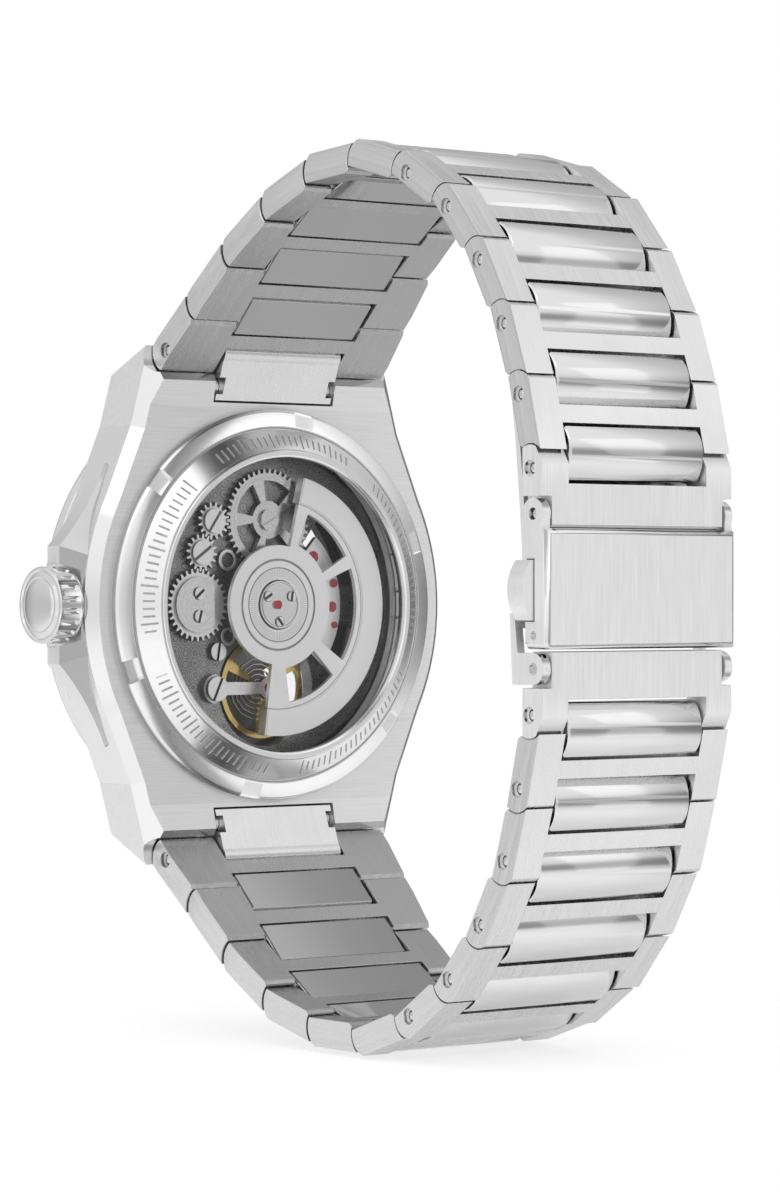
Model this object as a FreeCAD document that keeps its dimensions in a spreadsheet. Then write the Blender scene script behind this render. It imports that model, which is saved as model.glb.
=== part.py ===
import FreeCAD, Part
import math
import os
import re

# A skeleton wristwatch on a closed steel bracelet. X points to the crown, Y to the back of the case,
# Z to 12 o'clock. The flat back of the case is the plane Y = 0 and the case is centred on X = Z = 0.

SIZES = {
    # case head
    "ring_radius": 18.0, "ring_height": 2.6, "window_radius": 13.55, "glass_radius": 14.0,
    "glass_depth": 0.65, "glass_back": 1.95, "case_depth": 6.5, "case_bevel": 0.95,
    "flank_reach": 20.3, "waist_reach": 17.9, "waist_rise": 10.0, "shoulder_reach": 15.3,
    "shoulder_rise": 16.2, "back_rise": 18.1, "lug_reach": 13.2, "lug_rise": 24.0,
    "seat_radius": 16.9, "seat_depth": 1.6,
    "cavity_radius": 15.0, "cavity_depth": 5.3, "dial_opening": 14.2,
    "bezel_radius": 20.3, "bezel_depth": 3.0, "crystal_radius": 16.2, "crystal_depth": 1.3,
    "notch_half": 6.85, "notch_rise": 18.5, "tongue_half": 6.6,
    "bar_radius": 0.75, "bar_half": 8.8, "bar_rise": 20.0, "bar_back": -1.1,
    "guard_reach": 21.9, "guard_rise": 5.3, "guard_slope": 2.6,
    # crown
    "crown_back": -3.6, "crown_base": 20.75, "crown_radius": 3.45, "crown_length": 3.0,
    "flute_count": 20, "tube_radius": 1.45, "tube_bore": 0.9, "stem_radius": 0.55,
    "pinion_start": 9.6, "pinion_length": 2.6, "pinion_radius": 1.35, "square_side": 0.72,
    # movement levels along Y and its wheels
    "plate_radius": 14.85, "plate_back": -4.2, "plate_depth": 1.0, "bridge_back": -1.4,
    "bridge_depth": 1.5, "bar_bridge_depth": 0.5, "wheel_back": -0.75, "wheel_depth": 0.5, "gear_module": 0.2,
    "barrel_radius": 5.2, "balance_radius": 4.7, "balance_rise": -7.7, "balance_reach": -0.2,
    "rotor_radius": 12.1, "rotor_hub": 5.5, "rotor_back": 0.85, "hub_radius": 2.2,
    # dial side
    "chapter_outer": 14.1, "chapter_inner": 11.7, "chapter_back": -5.4, "chapter_depth": 1.0,
    "marker_length": 1.9, "marker_width": 0.75, "marker_depth": 0.35,
    "hour_length": 7.4, "minute_length": 10.9, "second_length": 11.3, "hand_depth": 0.18,
    # bracelet
    "pitch": 6.25, "pivot_back": 0.6, "pivot_rise": 23.0, "arm_inner": 0.85, "arm_outer": 1.65,
    "end_radius": 1.9, "end_gap": 0.12, "cross_start": 1.25, "cross_end": 2.8, "slot_gap": 0.2,
    "bar_end_radius": 1.05, "pin_radius": 0.5, "pin_gap": 0.05, "pin_recess": 0.3,
    "eye_bore": 0.68, "eye_sink": 0.45, "fixed_pin_radius": 0.4, "eye_radius": 1.3, "end_piece_step": 0.8,
    # clasp
    "clasp_half": 10.45, "clasp_neck": 9.4, "clasp_outer": 51.1, "end_piece_outer": 50.45,
    "end_piece_inner": 48.0, "cover_top": 5.95, "cover_bottom": -3.5, "cover_inner": 48.35,
    "ear_pin_back": 49.3, "upper_ear_rise": 7.5, "lower_ear_rise": -5.1, "ear_inner": 9.65,
    "heel_radius": 1.45, "blade_half": 8.9, "blade_depth": 0.55, "fold_back": 45.35, "fold_rise": 18.2,
    "button_back": 48.45, "button_rise": 1.3, "button_tall": 4.9, "button_thick": 1.9, "button_reach": 1.2,
}

# Directions of the eleven links of each half, in degrees from +Y towards +Z, from the case to the clasp.
UPPER_TURNS = [45, 44, 35, 22, 4, -15, -31, -49, -60, -70, -76]
LOWER_TURNS = [-43, -44, -33, -15, 0, 19, 34, 50, 60, 73, 76]
# Half width of the bracelet at each joint: it narrows over the first four links.
HALF_WIDTHS = [12.65, 11.95, 11.3, 10.75, 10.45]
# Half width of the centre bar of the end tongue and of each link after it.
BAR_HALVES = [6.6, 6.9, 7.15, 7.4]
OPEN_PINS = (0, 6, 7, 8, 9, 10)

doc = FreeCAD.newDocument("skeleton_wristwatch")
dims = doc.addObject("Spreadsheet::Sheet", "dims")
for row, (alias, size) in enumerate(SIZES.items(), 1):
    dims.set("A%d" % row, alias)
    dims.set("B%d" % row, str(size))
    dims.setAlias("B%d" % row, alias)
doc.recompute()

ALIASES = re.compile(r"\b(" + "|".join(sorted(SIZES, key=len, reverse=True)) + r")\b")
V = FreeCAD.Vector
TURNS = {
    "top": FreeCAD.Rotation(),
    "front": FreeCAD.Rotation(V(1, 0, 0), 90),
    "side": FreeCAD.Rotation(V(1, 1, 1), 120),
}
AXES = {"x": V(1, 0, 0), "y": V(0, 1, 0), "z": V(0, 0, 1)}
nodes = []


def size(alias):
    return float(dims.get(alias))


def bind(item, **formulas):
    """Ties properties to the sheet: each formula names cells by their aliases."""
    for name, formula in formulas.items():
        item.setExpression(name.replace("__", "."), ALIASES.sub(r"dims.\1", str(formula)))
    return item


def polar(radius, degrees, centre=(0.0, 0.0)):
    turn = math.radians(degrees)
    return (centre[0] + radius * math.cos(turn), centre[1] + radius * math.sin(turn))


def arc(middle, end):
    return ("arc", middle, end)


def trace(points):
    """Edges through the points and back to the first; arc(middle, end) is a curved stretch."""
    edges = []
    here = points[0]
    for step in list(points[1:]) + [points[0]]:
        if step[0] == "arc":
            edges.append(Part.Arc(V(*here), V(*step[1]), V(*step[2])))
            here = step[2]
        elif math.dist(here, step) > 1e-6:
            edges.append(Part.LineSegment(V(*here), V(*step)))
            here = step
    return edges


def circle(centre, radius):
    return [Part.Circle(V(*centre), V(0, 0, 1), radius)]


def sketch(name, plane, loops):
    """A sketch on a main plane: top is XY, front is XZ seen from +Y, side is YZ."""
    item = doc.addObject("Sketcher::SketchObject", name + "_sketch")
    item.Placement = FreeCAD.Placement(V(), TURNS[plane])
    for loop in loops:
        item.addGeometry(loop)
    return item


def prism(name, plane, loops, start, length):
    """Extrudes loops: front ones from Y = start towards -Y, side ones from X = start towards +X."""
    outline = sketch(name, plane, loops)
    across = {"front": "Placement__Base__y", "side": "Placement__Base__x", "top": "Placement__Base__z"}
    bind(outline, **{across[plane]: start})
    item = doc.addObject("Part::Extrusion", name)
    item.Base = outline
    item.DirMode = "Normal"
    item.Solid = True
    return bind(item, LengthFwd=length)


def turned(name, profile, axis="y"):
    """Revolves a profile of (radius, y) points about Y, or of (x, radius) points about the crown's axis."""
    outline = sketch(name, "top", [trace(profile)])
    item = doc.addObject("Part::Revolution", name)
    item.Source = outline
    item.Axis = AXES[axis]
    item.Angle = 360
    item.Solid = True
    return item


def rod(name, axis, start, radius, length):
    item = doc.addObject("Part::Cylinder", name)
    turn = FreeCAD.Rotation(V(0, 0, 1), AXES[axis])
    item.Placement = FreeCAD.Placement(V(*start), turn)
    return bind(item, Radius=radius, Height=length)


def block(name, low, high):
    item = doc.addObject("Part::Box", name)
    item.Placement.Base = V(*low)
    item.Length, item.Width, item.Height = (b - a for a, b in zip(low, high))
    return item


def fuse(name, *pieces):
    item = doc.addObject("Part::MultiFuse", name)
    item.Shapes = list(pieces)
    return item


def common(name, first, second):
    item = doc.addObject("Part::Common", name)
    item.Base = first
    item.Tool = second
    return item


def cut(name, base, *tools):
    item = doc.addObject("Part::Cut", name)
    item.Base = base
    item.Tool = tools[0] if len(tools) == 1 else group(name + "_tools", *tools)
    return item


def group(name, *pieces):
    """Separate solids held together as one object."""
    item = doc.addObject("Part::Compound", name)
    item.Links = list(pieces)
    return item


def bevel(name, base, picks, width):
    """Chamfers the edges that the test picks."""
    doc.recompute()
    item = doc.addObject("Part::Chamfer", name)
    item.Base = base
    item.Edges = [(n, width, width) for n, edge in enumerate(base.Shape.Edges, 1) if picks(edge)]
    return item


def node(item, label=None):
    item.Label = label or item.Name
    nodes.append(item)
    return item


# ---------------------------------------------------------------- case head


def lug_profile():
    """Side view of the case: lugs end in hollows centred on the first pivots of the bracelet."""
    pivot = (size("pivot_back"), size("pivot_rise"))
    hollow = size("end_radius") + size("end_gap")
    tip, middle, heel = (polar(hollow, degrees, pivot) for degrees in (165, 212, 258))
    front = -size("case_depth")
    upper = [(0, size("back_rise")), (0.5, 20.4), heel, arc(middle, tip), (front, 20.6)]
    lower = [(front, -20.6), flipped(tip), arc(flipped(middle), flipped(heel)), (0.5, -20.4),
             (0, -size("back_rise"))]
    return trace(upper + lower)


def flipped(point):
    """The point mirrored in its second coordinate."""
    return (point[0], -point[1])


def case_plan():
    """Outline of the case seen from behind: a swelling flank, a shoulder and a lug at each corner."""
    lug = (size("lug_reach"), size("lug_rise"))
    shoulder = (size("shoulder_reach"), size("shoulder_rise"))
    waist = (size("waist_reach"), size("waist_rise"))
    swell = (size("flank_reach"), 0)
    right = [flipped(lug), flipped(shoulder), flipped(waist), arc(swell, waist), shoulder, lug]
    left = [(-x, z) for x, z in (lug, shoulder, waist)]
    left += [arc((-swell[0], 0), (-waist[0], -waist[1]))]
    left += [(-x, -z) for x, z in (shoulder, lug)]
    return trace(right + left)


def crown_guards():
    """The flank swells out round the crown, with a wide slope towards the back."""
    tip, rise = size("guard_reach"), size("guard_rise")
    flare, foot = (19.2, 8.6), (17.0, 12.8)
    outline = trace([(9.0, -foot[1]), flipped(foot), arc(flipped(flare), (tip, -rise)), (tip, rise),
                     arc(flare, foot), (9.0, foot[1])])
    wall = prism("guard_wall", "front", [outline], "-guard_slope", "4.5 - guard_slope")
    slope = prism("guard_slope_part", "front", [outline], "-guard_slope", "guard_slope - 0.1")
    slope.Reversed = True
    slope.TaperAngle = -52
    return [wall, slope]


def front_rim(edge):
    box = edge.BoundBox
    sideways = min(abs(box.XMin), abs(box.XMax)) > 13.2
    return sideways and box.YMax < 0.01 - size("case_depth") and box.ZLength > 2


def make_case():
    plan = prism("case_plan", "front", [case_plan()], "-case_bevel", "case_depth - case_bevel")
    slope = prism("case_slope", "front", [case_plan()], "-case_bevel", "case_bevel + 1")
    slope.Reversed = True
    slope.TaperAngle = -45
    profile = prism("case_profile", "side", [lug_profile()], "-30", "60")
    shell = common("case_shell", fuse("case_blank", plan, slope), profile)
    shell = bevel("case_front_bevel", shell, front_rim, 0.6)
    body = fuse("case_body", shell, *crown_guards())
    crown_y = size("crown_back")
    tools = [
        rod("cavity", "y", (0, -size("cavity_depth"), 0), "cavity_radius", "10"),
        rod("dial_hole", "y", (0, -10, 0), "dial_opening", "15"),
        rod("back_seat", "y", (0, -size("seat_depth"), 0), "seat_radius", "5"),
        rod("tube_hole", "x", (14, crown_y, 0), "tube_radius + 0.02", "10"),
        rod("crown_recess", "x", (20.35, crown_y, 0), "crown_radius + 0.35", "10"),
    ]
    for name, side in (("upper", 1), ("lower", -1)):
        low, high = sorted((size("notch_rise") * side, 30 * side))
        tools.append(block("notch_" + name, (-size("notch_half"), -10, low), (size("notch_half"), 5, high)))
        start = (-size("bar_half") - 0.2, size("bar_back"), size("bar_rise") * side)
        tools.append(rod("bar_hole_" + name, "x", start, "bar_radius + 0.05", "2 * (bar_half + 0.2)"))
    node(cut("case_middle", body, *tools))


def make_bezel():
    front = -size("case_depth")
    edge = size("bezel_radius")
    seat = size("crystal_radius") + 0.05
    ledge = front - size("bezel_depth") + 1.0
    rim = front - size("bezel_depth")
    profile = [(14.3, front), (edge - 0.1, front), (edge, front - 1.1), (edge - 0.8, front - 1.8),
               (seat + 0.7, rim), (seat, rim), (seat, ledge), (14.3, ledge)]
    node(turned("front_bezel", profile))
    face = ledge - size("crystal_depth")
    reach = size("crystal_radius")
    glass = [(0, ledge), (reach, ledge), (reach, face + 0.3), (reach - 0.4, face), (0, face)]
    node(turned("front_crystal", glass))


def make_dial():
    back, depth = size("chapter_back"), size("chapter_depth")
    outer, inner = size("chapter_outer"), size("chapter_inner")
    profile = [(inner, back), (outer, back), (outer, back - depth - 0.5), (outer - 0.4, back - depth - 0.5),
               (outer - 0.9, back - depth), (inner, back - depth)]
    node(turned("chapter_ring", profile))
    markers = []
    for hour in range(12):
        width = size("marker_width") * (1.7 if hour == 0 else 1)
        start = inner + 0.15
        extent = (width, size("marker_depth"), size("marker_length") - 0.6)
        marker = block("marker_%02d" % hour, (0, 0, 0), extent)
        turn = FreeCAD.Rotation(V(0, 1, 0), 30 * hour)
        corner = V(-width / 2, back - depth - size("marker_depth"), start)
        marker.Placement = FreeCAD.Placement(turn.multVec(corner), turn)
        markers.append(marker)
    node(group("hour_markers", *markers))


def make_caseback():
    glass, window, top = size("glass_radius") + 0.05, size("window_radius"), size("ring_height")
    outer, spigot = size("ring_radius"), size("seat_radius") - 0.1
    lip = [(window, size("glass_back")), (window, top - 0.25), (window + 0.2, top), (window + 0.6, top),
           (14.3, 2.3)]
    groove = [(16.15, 1.1), (16.2, 0.85), (16.4, 0.85), (16.45, 1.0)]
    edge = [(outer - 0.25, 0.7), (outer, 0.45), (outer, 0), (spigot, 0), (spigot, -1.5)]
    inside = [(15.7, -1.5), (15.7, 0), (14.5, 0.6), (glass, 1.0), (glass, size("glass_back"))]
    profile = lip + groove + edge + inside
    dome = turned("caseback_dome", profile)
    slots = []
    for number in range(6):
        slot = block("tool_slot_%d" % number, (0, 0, 0), (2.0, 3, 2.1))
        turn = FreeCAD.Rotation(V(0, 1, 0), -(40 + 60 * number))
        slot.Placement = FreeCAD.Placement(turn.multVec(V(16.55, 0.5, -1.05)), turn)
        slots.append(slot)
    node(cut("caseback_ring", dome, *slots))
    front = (0, size("glass_back") - size("glass_depth"), 0)
    node(rod("caseback_glass", "y", front, "glass_radius", "glass_depth"))


# ---------------------------------------------------------------- crown and stem


def make_crown():
    base, radius = size("crown_base"), size("crown_radius")
    end = base + size("crown_length")
    crest, cap = 6.5, radius - 0.45
    rim = end - crest + math.sqrt(crest ** 2 - cap ** 2)
    middle = (end - crest + math.sqrt(crest ** 2 - cap ** 2 / 4), cap / 2)
    bore = size("stem_radius") + 0.02
    head = [(base, 1.75), (base, radius - 0.25), (base + 0.2, radius), (rim - 0.35, radius), (rim, cap)]
    hollow = [(base + 2.3, 0), (base + 2.3, bore), (base + 1.5, bore), (base + 1.5, 1.75)]
    profile = head + [arc(middle, (end, 0))] + hollow
    blank = turned("crown_blank", profile, "x")
    flutes = []
    for number in range(int(size("flute_count"))):
        y, z = polar(radius + 0.16, 360 * (number + 0.5) / size("flute_count"))
        flutes.append(rod("flute_%02d" % number, "x", (base + 0.65, y, z), "0.42", "2.0"))
    head = cut("crown_head", blank, *flutes)
    side = size("square_side")
    shank = size("pinion_start") + size("pinion_length") + 0.1
    stem = fuse("stem_body", rod("stem_shank", "x", (shank, 0, 0), "stem_radius", base + 2.25 - shank),
                block("stem_square", (shank - 3.7, -side / 2, -side / 2), (shank + 0.1, side / 2, side / 2)))
    crown = group("crown_and_stem", head, stem)
    crown.Placement.Base = V(0, size("crown_back"), 0)
    node(crown)
    tube = cut("crown_tube", rod("tube_outer", "x", (15.15, size("crown_back"), 0), "tube_radius", "6"),
               rod("tube_inner", "x", (15, size("crown_back"), 0), "tube_bore", "7"))
    node(tube)
    teeth = toothed(14, size("pinion_radius") - 0.3, size("pinion_radius"))
    gap = side / 2 + 0.03
    square = trace([(-gap, -gap), (gap, -gap), (gap, gap), (-gap, gap)])
    pinion = prism("sliding_pinion", "side", [teeth, square], "pinion_start", "pinion_length")
    bind(pinion.Base, Placement__Base__y="crown_back")
    node(pinion)


# ---------------------------------------------------------------- movement


def toothed(teeth, root, tip, centre=(0, 0), phase=0.0):
    """Outline of a toothed wheel; phase, in tooth pitches, turns the first tooth off the +X direction."""
    points = []
    step = 360.0 / teeth
    for tooth in range(teeth):
        middle = (tooth + phase) * step
        points.append(polar(root, middle - 0.27 * step, centre))
        points.append(polar(tip, middle - 0.12 * step, centre))
        points.append(polar(tip, middle + 0.12 * step, centre))
        points.append(polar(root, middle + 0.27 * step, centre))
    return trace(points)


def window(centre, inner, outer, start, end):
    """A window between two radii and two directions, with straight sides."""
    middle = (start + end) / 2
    return trace([polar(inner, start, centre), arc(polar(inner, middle, centre), polar(inner, end, centre)),
                  polar(outer, end, centre), arc(polar(outer, middle, centre), polar(outer, start, centre))])


def train():
    """Centres of the winding wheels: crown wheel, two idlers and ratchet, each in mesh with the next."""
    module = size("gear_module")
    counts = [32, 16, 16, 46]
    bearings = [95.5, 114.5, 178.5]
    centres = [(8.0, 0.0)]
    for first, second, bearing in zip(counts, counts[1:], bearings):
        centres.append(polar(module * (first + second) / 2, bearing, centres[-1]))
    return counts, bearings, centres


def train_phases():
    """Turns each wheel so that a tooth of one stands in a gap of the next on the line between centres."""
    counts, bearings, _ = train()
    phases = [0.5 + bearings[0] / 360 * counts[0]]
    for number in range(1, 4):
        facing = (bearings[number - 1] + 180) / 360 * counts[number]
        before = (phases[-1] - bearings[number - 1] / 360 * counts[number - 1]) % 1
        phases.append(facing + 0.5 - before)
    return phases


def gear(name, teeth, centre, phase, loops):
    pitch_radius = size("gear_module") * teeth / 2
    outline = toothed(teeth, pitch_radius - 0.27, pitch_radius + 0.13, centre, phase)
    return prism(name, "front", [outline] + loops, "wheel_back", "wheel_depth")


def screw(name, x, z, seat, radius, depth, turn):
    """A slotted screw head whose underside is at Y = seat."""
    head = rod(name + "_head", "y", (x, seat, z), radius, depth)
    slot = block(name + "_slot", (-2, 0, -0.13), (2, 1, 0.13))
    facing = FreeCAD.Rotation(V(0, 1, 0), turn)
    slot.Placement = FreeCAD.Placement(V(x, seat + depth * 0.55, z) + facing.multVec(V(-2, 0, -0.13)), facing)
    return cut(name, head, slot)


def make_winding_wheels():
    counts, _, centres = train()
    phases = train_phases()
    node(gear("crown_wheel", counts[0], centres[0], phases[0], [circle(centres[0], 0.95)]))
    node(gear("idler_wheel_lower", counts[1], centres[1], phases[1], [circle(centres[1], 0.65)]))
    node(gear("idler_wheel_upper", counts[2], centres[2], phases[2], [circle(centres[2], 0.65)]))
    arms = [window(centres[3], 1.75, 3.65, 72 * n + 10, 72 * n + 62) for n in range(5)]
    rim = gear("ratchet_rim", counts[3], centres[3], phases[3], arms + [circle(centres[3], 0.5)])
    core = screw("ratchet_screw", centres[3][0], centres[3][1], size("wheel_back"), 1.0, 0.3, 25)
    node(group("ratchet_wheel", rim, core))
    cover = rod("cover_disc", "y", (8.0, size("wheel_back") + 0.05, 0), "2.55", "0.2")
    post = rod("cover_post", "y", (8.0, size("bridge_back"), 0), "0.9", wheel_rise() + 0.1)
    trim = block("cover_trim", (3.0, -0.72, -4), (6.3, 0.28, 4))
    node(cut("crown_wheel_cover", fuse("cover_body", cover, post), trim))


def wheel_rise():
    return size("wheel_back") - size("bridge_back")


def make_plates():
    """Main plate on the dial side and the bridge above the barrel and train."""
    balance = (size("balance_reach"), size("balance_rise"))
    centres = train()[2]
    plate_windows = [window((0, 0), 6.4, 12.6, start, start + 62) for start in (18, 100, 190)]
    plate_loops = [circle((0, 0), size("plate_radius")), circle((0, 0), 1.15), circle(balance, 0.45)]
    plate = prism("plate_disc", "front", plate_loops + plate_windows, "plate_back", "plate_depth")
    slot = block("stem_slot", (9.2, -6, -1.75), (16, 0, 1.75))
    height = "bridge_back - bridge_depth - plate_back"
    pillars = [rod("pillar_%d" % n, "y", plate_point(13.4, turn), "0.9", height)
               for n, turn in enumerate((15, 75, 135, 225, 330))]
    node(fuse("mainplate", cut("plate_slotted", plate, slot), *pillars))
    loops = [circle((0, 0), 14.4), circle(balance, 5.4), circle(centres[3], 0.9), circle((0, 0), 0.6)]
    loops += [window((0, 0), 7.2, 12.2, 128, 170), window((0, 0), 7.6, 12.4, 190, 215)]
    bridge = prism("bridge_disc", "front", loops, "bridge_back", "bridge_depth")
    opening = block("pinion_window", (9.3, -4, -1.7), (12.6, 0, 1.7))
    node(cut("train_bridge", bridge, opening))
    back, depth = size("bridge_back"), size("bar_bridge_depth")
    foot, tip = (5.85, balance[1]), balance
    bar = trace([(foot[0], foot[1] - 1.35), arc((foot[0] + 1.35, foot[1]), (foot[0], foot[1] + 1.35)),
                 (foot[0] - 1.1, foot[1] + 0.6), (tip[0] + 0.9, tip[1] + 0.55),
                 arc((tip[0] - 1.05, tip[1]), (tip[0] + 0.9, tip[1] - 0.55)), (foot[0] - 1.1, foot[1] - 0.6)])
    arm = prism("balance_arm", "front", [bar, circle(balance, 0.5)], back + depth, str(depth))
    cover = window((0, 0), 3.4, 8.5, 132, 222)
    outline = [cover, window((0, 0), 4.3, 6.2, 196, 216)]
    sector = prism("automatic_bridge", "front", outline, back + depth, str(depth))
    node(group("upper_bridges", arm, sector))


def plate_point(radius, degrees):
    """A point on the back of the main plate."""
    x, z = polar(radius, degrees)
    return (x, size("plate_back"), z)


def make_fittings():
    """Screws, collars and jewels of the bridges."""
    centres = train()[2]
    bridge, cover = size("bridge_back"), size("wheel_back") + 0.25
    balance = (size("balance_reach"), size("balance_rise"))
    screws = [screw("bridge_screw_1", 5.85, balance[1], bridge + 0.5, 1.15, 0.4, 65),
              screw("bridge_screw_2", 5.5, -4.3, bridge, 0.85, 0.5, 80),
              screw("cover_screw_1", 8.0, 1.05, cover, 0.6, 0.2, 40),
              screw("cover_screw_2", 8.0, -1.05, cover, 0.6, 0.2, 75)]
    for number, centre in enumerate(centres[1:3]):
        x, z = centre
        post = rod("idler_post_%d" % number, "y", (x, bridge, z), "0.6", str(wheel_rise() + 0.03))
        head = screw("idler_head_%d" % number, x, z, size("wheel_back") + 0.03, 1.15, 0.28, 35 + 20 * number)
        screws.append(fuse("idler_screw_%d" % number, post, head))
    for number in range(3):
        x, z = polar(1.55, 30 + 120 * number)
        screws.append(screw("hub_screw_%d" % number, x, z, hub_top(), 0.45, 0.12, 30 + 50 * number))
    for number, (x, z, reach) in enumerate([(4.4, 4.1, 1.0), (4.3, -2.9, 0.85)]):
        collar = [circle((x, z), reach), circle((x, z), reach - 0.3)]
        screws.append(prism("collar_%d" % number, "front", collar, bridge + 0.35, "0.35"))
    node(group("movement_screws", *screws))
    stones = []
    seat = bridge + size("bar_bridge_depth")
    jewels = [(-5.3, 4.45, 0.55), (-7.5, -0.2, 0.5), (-7.8, -1.9, 0.32), (-7.7, 2.0, 0.4)]
    for number, (x, z, reach) in enumerate(jewels):
        stones.append(rod("jewel_%d" % number, "y", (x, seat, z), reach, "0.12"))
    stones.append(rod("balance_jewel", "y", (balance[0], bridge + 0.1, balance[1]), "0.45", "0.45"))
    stones.append(rod("hub_jewel", "y", (0.3, hub_top(), 0), "0.42", "0.2"))
    node(group("jewels", *stones))


def hub_top():
    return size("rotor_back") + 0.2


def make_rotor():
    """A half-disc weight on a ball-bearing hub, open between the hub and the heavy rim."""
    hub, radius, back = size("rotor_hub"), size("rotor_radius"), size("rotor_back")
    start, end = 104, 277.6
    middle = (start + end) / 2
    outline = trace([polar(hub, start), polar(radius, start), arc(polar(radius, middle), polar(radius, end)),
                     polar(hub, end), arc(polar(hub, middle + 180), polar(hub, start))])
    openings = [window((0, 0), 5.9, 9.1, 112, 150), window((0, 0), 5.9, 9.1, 158, 215),
                window((0, 0), 5.9, 9.1, 226, 262), circle((0, 0), size("hub_radius") + 0.12)]
    web = prism("rotor_web", "front", [outline] + openings, "rotor_back", "0.45")
    rings = [circle((0, 0), 4.25), circle((0, 0), 4.05)], [circle((0, 0), 3.45), circle((0, 0), 3.35)]
    grooves = [prism("hub_groove_%d" % n, "front", pair, "rotor_back + 1", "1.1")
               for n, pair in enumerate(rings)]
    band = window((0, 0), 9.8, radius, start + 0.5, end - 0.5)
    rim = prism("rotor_rim", "front", [band], str(back + 0.12), "1.25")
    node(fuse("rotor", cut("rotor_grooved", web, *grooves), rim))
    base = size("bridge_back")
    disc = rod("hub_disc", "y", (0, base, 0), "hub_radius", str(hub_top() - base))
    flange = rod("hub_flange", "y", (0, base, 0), "3.1", "0.45")
    post = rod("hub_post", "y", (0, base - 1.2, 0), "0.55", "1.5")
    node(fuse("rotor_hub", disc, flange, post))


def make_going_train():
    """Barrel, escape wheel, balance and hairspring."""
    centres = train()[2]
    barrel = toothed(72, size("barrel_radius") - 0.25, size("barrel_radius"), centres[3])
    drum = prism("barrel_teeth", "front", [barrel, circle(centres[3], 0.45)], "-3", "0.3")
    wall = prism("barrel_drum", "front", [circle(centres[3], 4.7), circle(centres[3], 0.45)], "-3.25", "0.85")
    node(fuse("mainspring_barrel", drum, wall))
    hub = (-5.0, -4.4)
    rim = toothed(15, 1.75, 2.1, hub)
    spokes = [window(hub, 0.6, 1.35, 90 * n + 12, 90 * n + 78) for n in range(4)]
    node(prism("escape_wheel", "front", [rim] + spokes + [circle(hub, 0.15)], "-3.6", "0.15"))
    centre = (size("balance_reach"), size("balance_rise"))
    radius = size("balance_radius")
    gaps = [window(centre, 0.75, radius - 0.5, 120 * n + 37, 120 * n + 143) for n in range(3)]
    wheel = prism("balance_rim", "front", [circle(centre, radius)] + gaps, "-2", "0.4")
    staff = rod("balance_staff", "y", (centre[0], -4.1, centre[1]), "0.22", "2.75")
    node(fuse("balance_wheel", wheel, staff))
    inner, outer = [], []
    turns, steps = 5, 14
    for step in range(turns * steps + 1):
        reach = 0.6 + 2.4 * step / (turns * steps)
        inner.append(polar(reach, 360 * step / steps, centre))
        outer.append(polar(reach + 0.1, 360 * step / steps, centre))
    coil = prism("hairspring_coil", "front", [trace(inner + outer[::-1])], "-2.75", "0.22")
    rings = [circle(centre, 0.66), circle(centre, 0.24)]
    collet = prism("hairspring_collet", "front", rings, "-2.75", "0.22")
    node(fuse("hairspring", coil, collet))


def make_hands():
    """Hour, minute and seconds hands on three nested pipes."""
    level = size("chapter_back") - size("chapter_depth") - size("marker_depth")
    depth = size("hand_depth")
    foot = size("plate_back") - size("plate_depth") - 0.05
    for name, length, half, drop, pipe, bore, direction in (
            ("hour_hand", size("hour_length"), 0.75, 0.1, 0.95, 0.70, 150),
            ("minute_hand", size("minute_length"), 0.55, 0.45, 0.66, 0.38, 38),
            ("seconds_hand", size("second_length"), 0.12, 0.8, 0.34, 0.0, 205)):
        back = level - drop
        tail = 3.2 if bore == 0 else 0
        neck = length - 2 * half
        tip = trace([(0.05, half), (neck, half), (length, 0), (neck, -half), (0.05, -half)])
        blade = prism(name + "_blade", "front", [tip], str(back), str(depth))
        pieces = [blade, prism(name + "_boss", "front", [circle((0, 0), pipe + 0.35)], str(back), str(depth))]
        if tail:
            pieces.append(block(name + "_tail", (-tail, back - depth, -0.25), (0, back, 0.25)))
        pieces.append(rod(name + "_pipe", "y", (0, back - 0.05, 0), str(pipe), str(foot - back + 0.05)))
        body = fuse(name + "_body", *pieces)
        if bore:
            body = cut(name + "_bored", body, rod(name + "_bore", "y", (0, back - 1, 0), str(bore), "4"))
        body.Placement.Rotation = FreeCAD.Rotation(V(0, 1, 0), -direction)
        node(body, name)


# ---------------------------------------------------------------- bracelet


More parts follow.
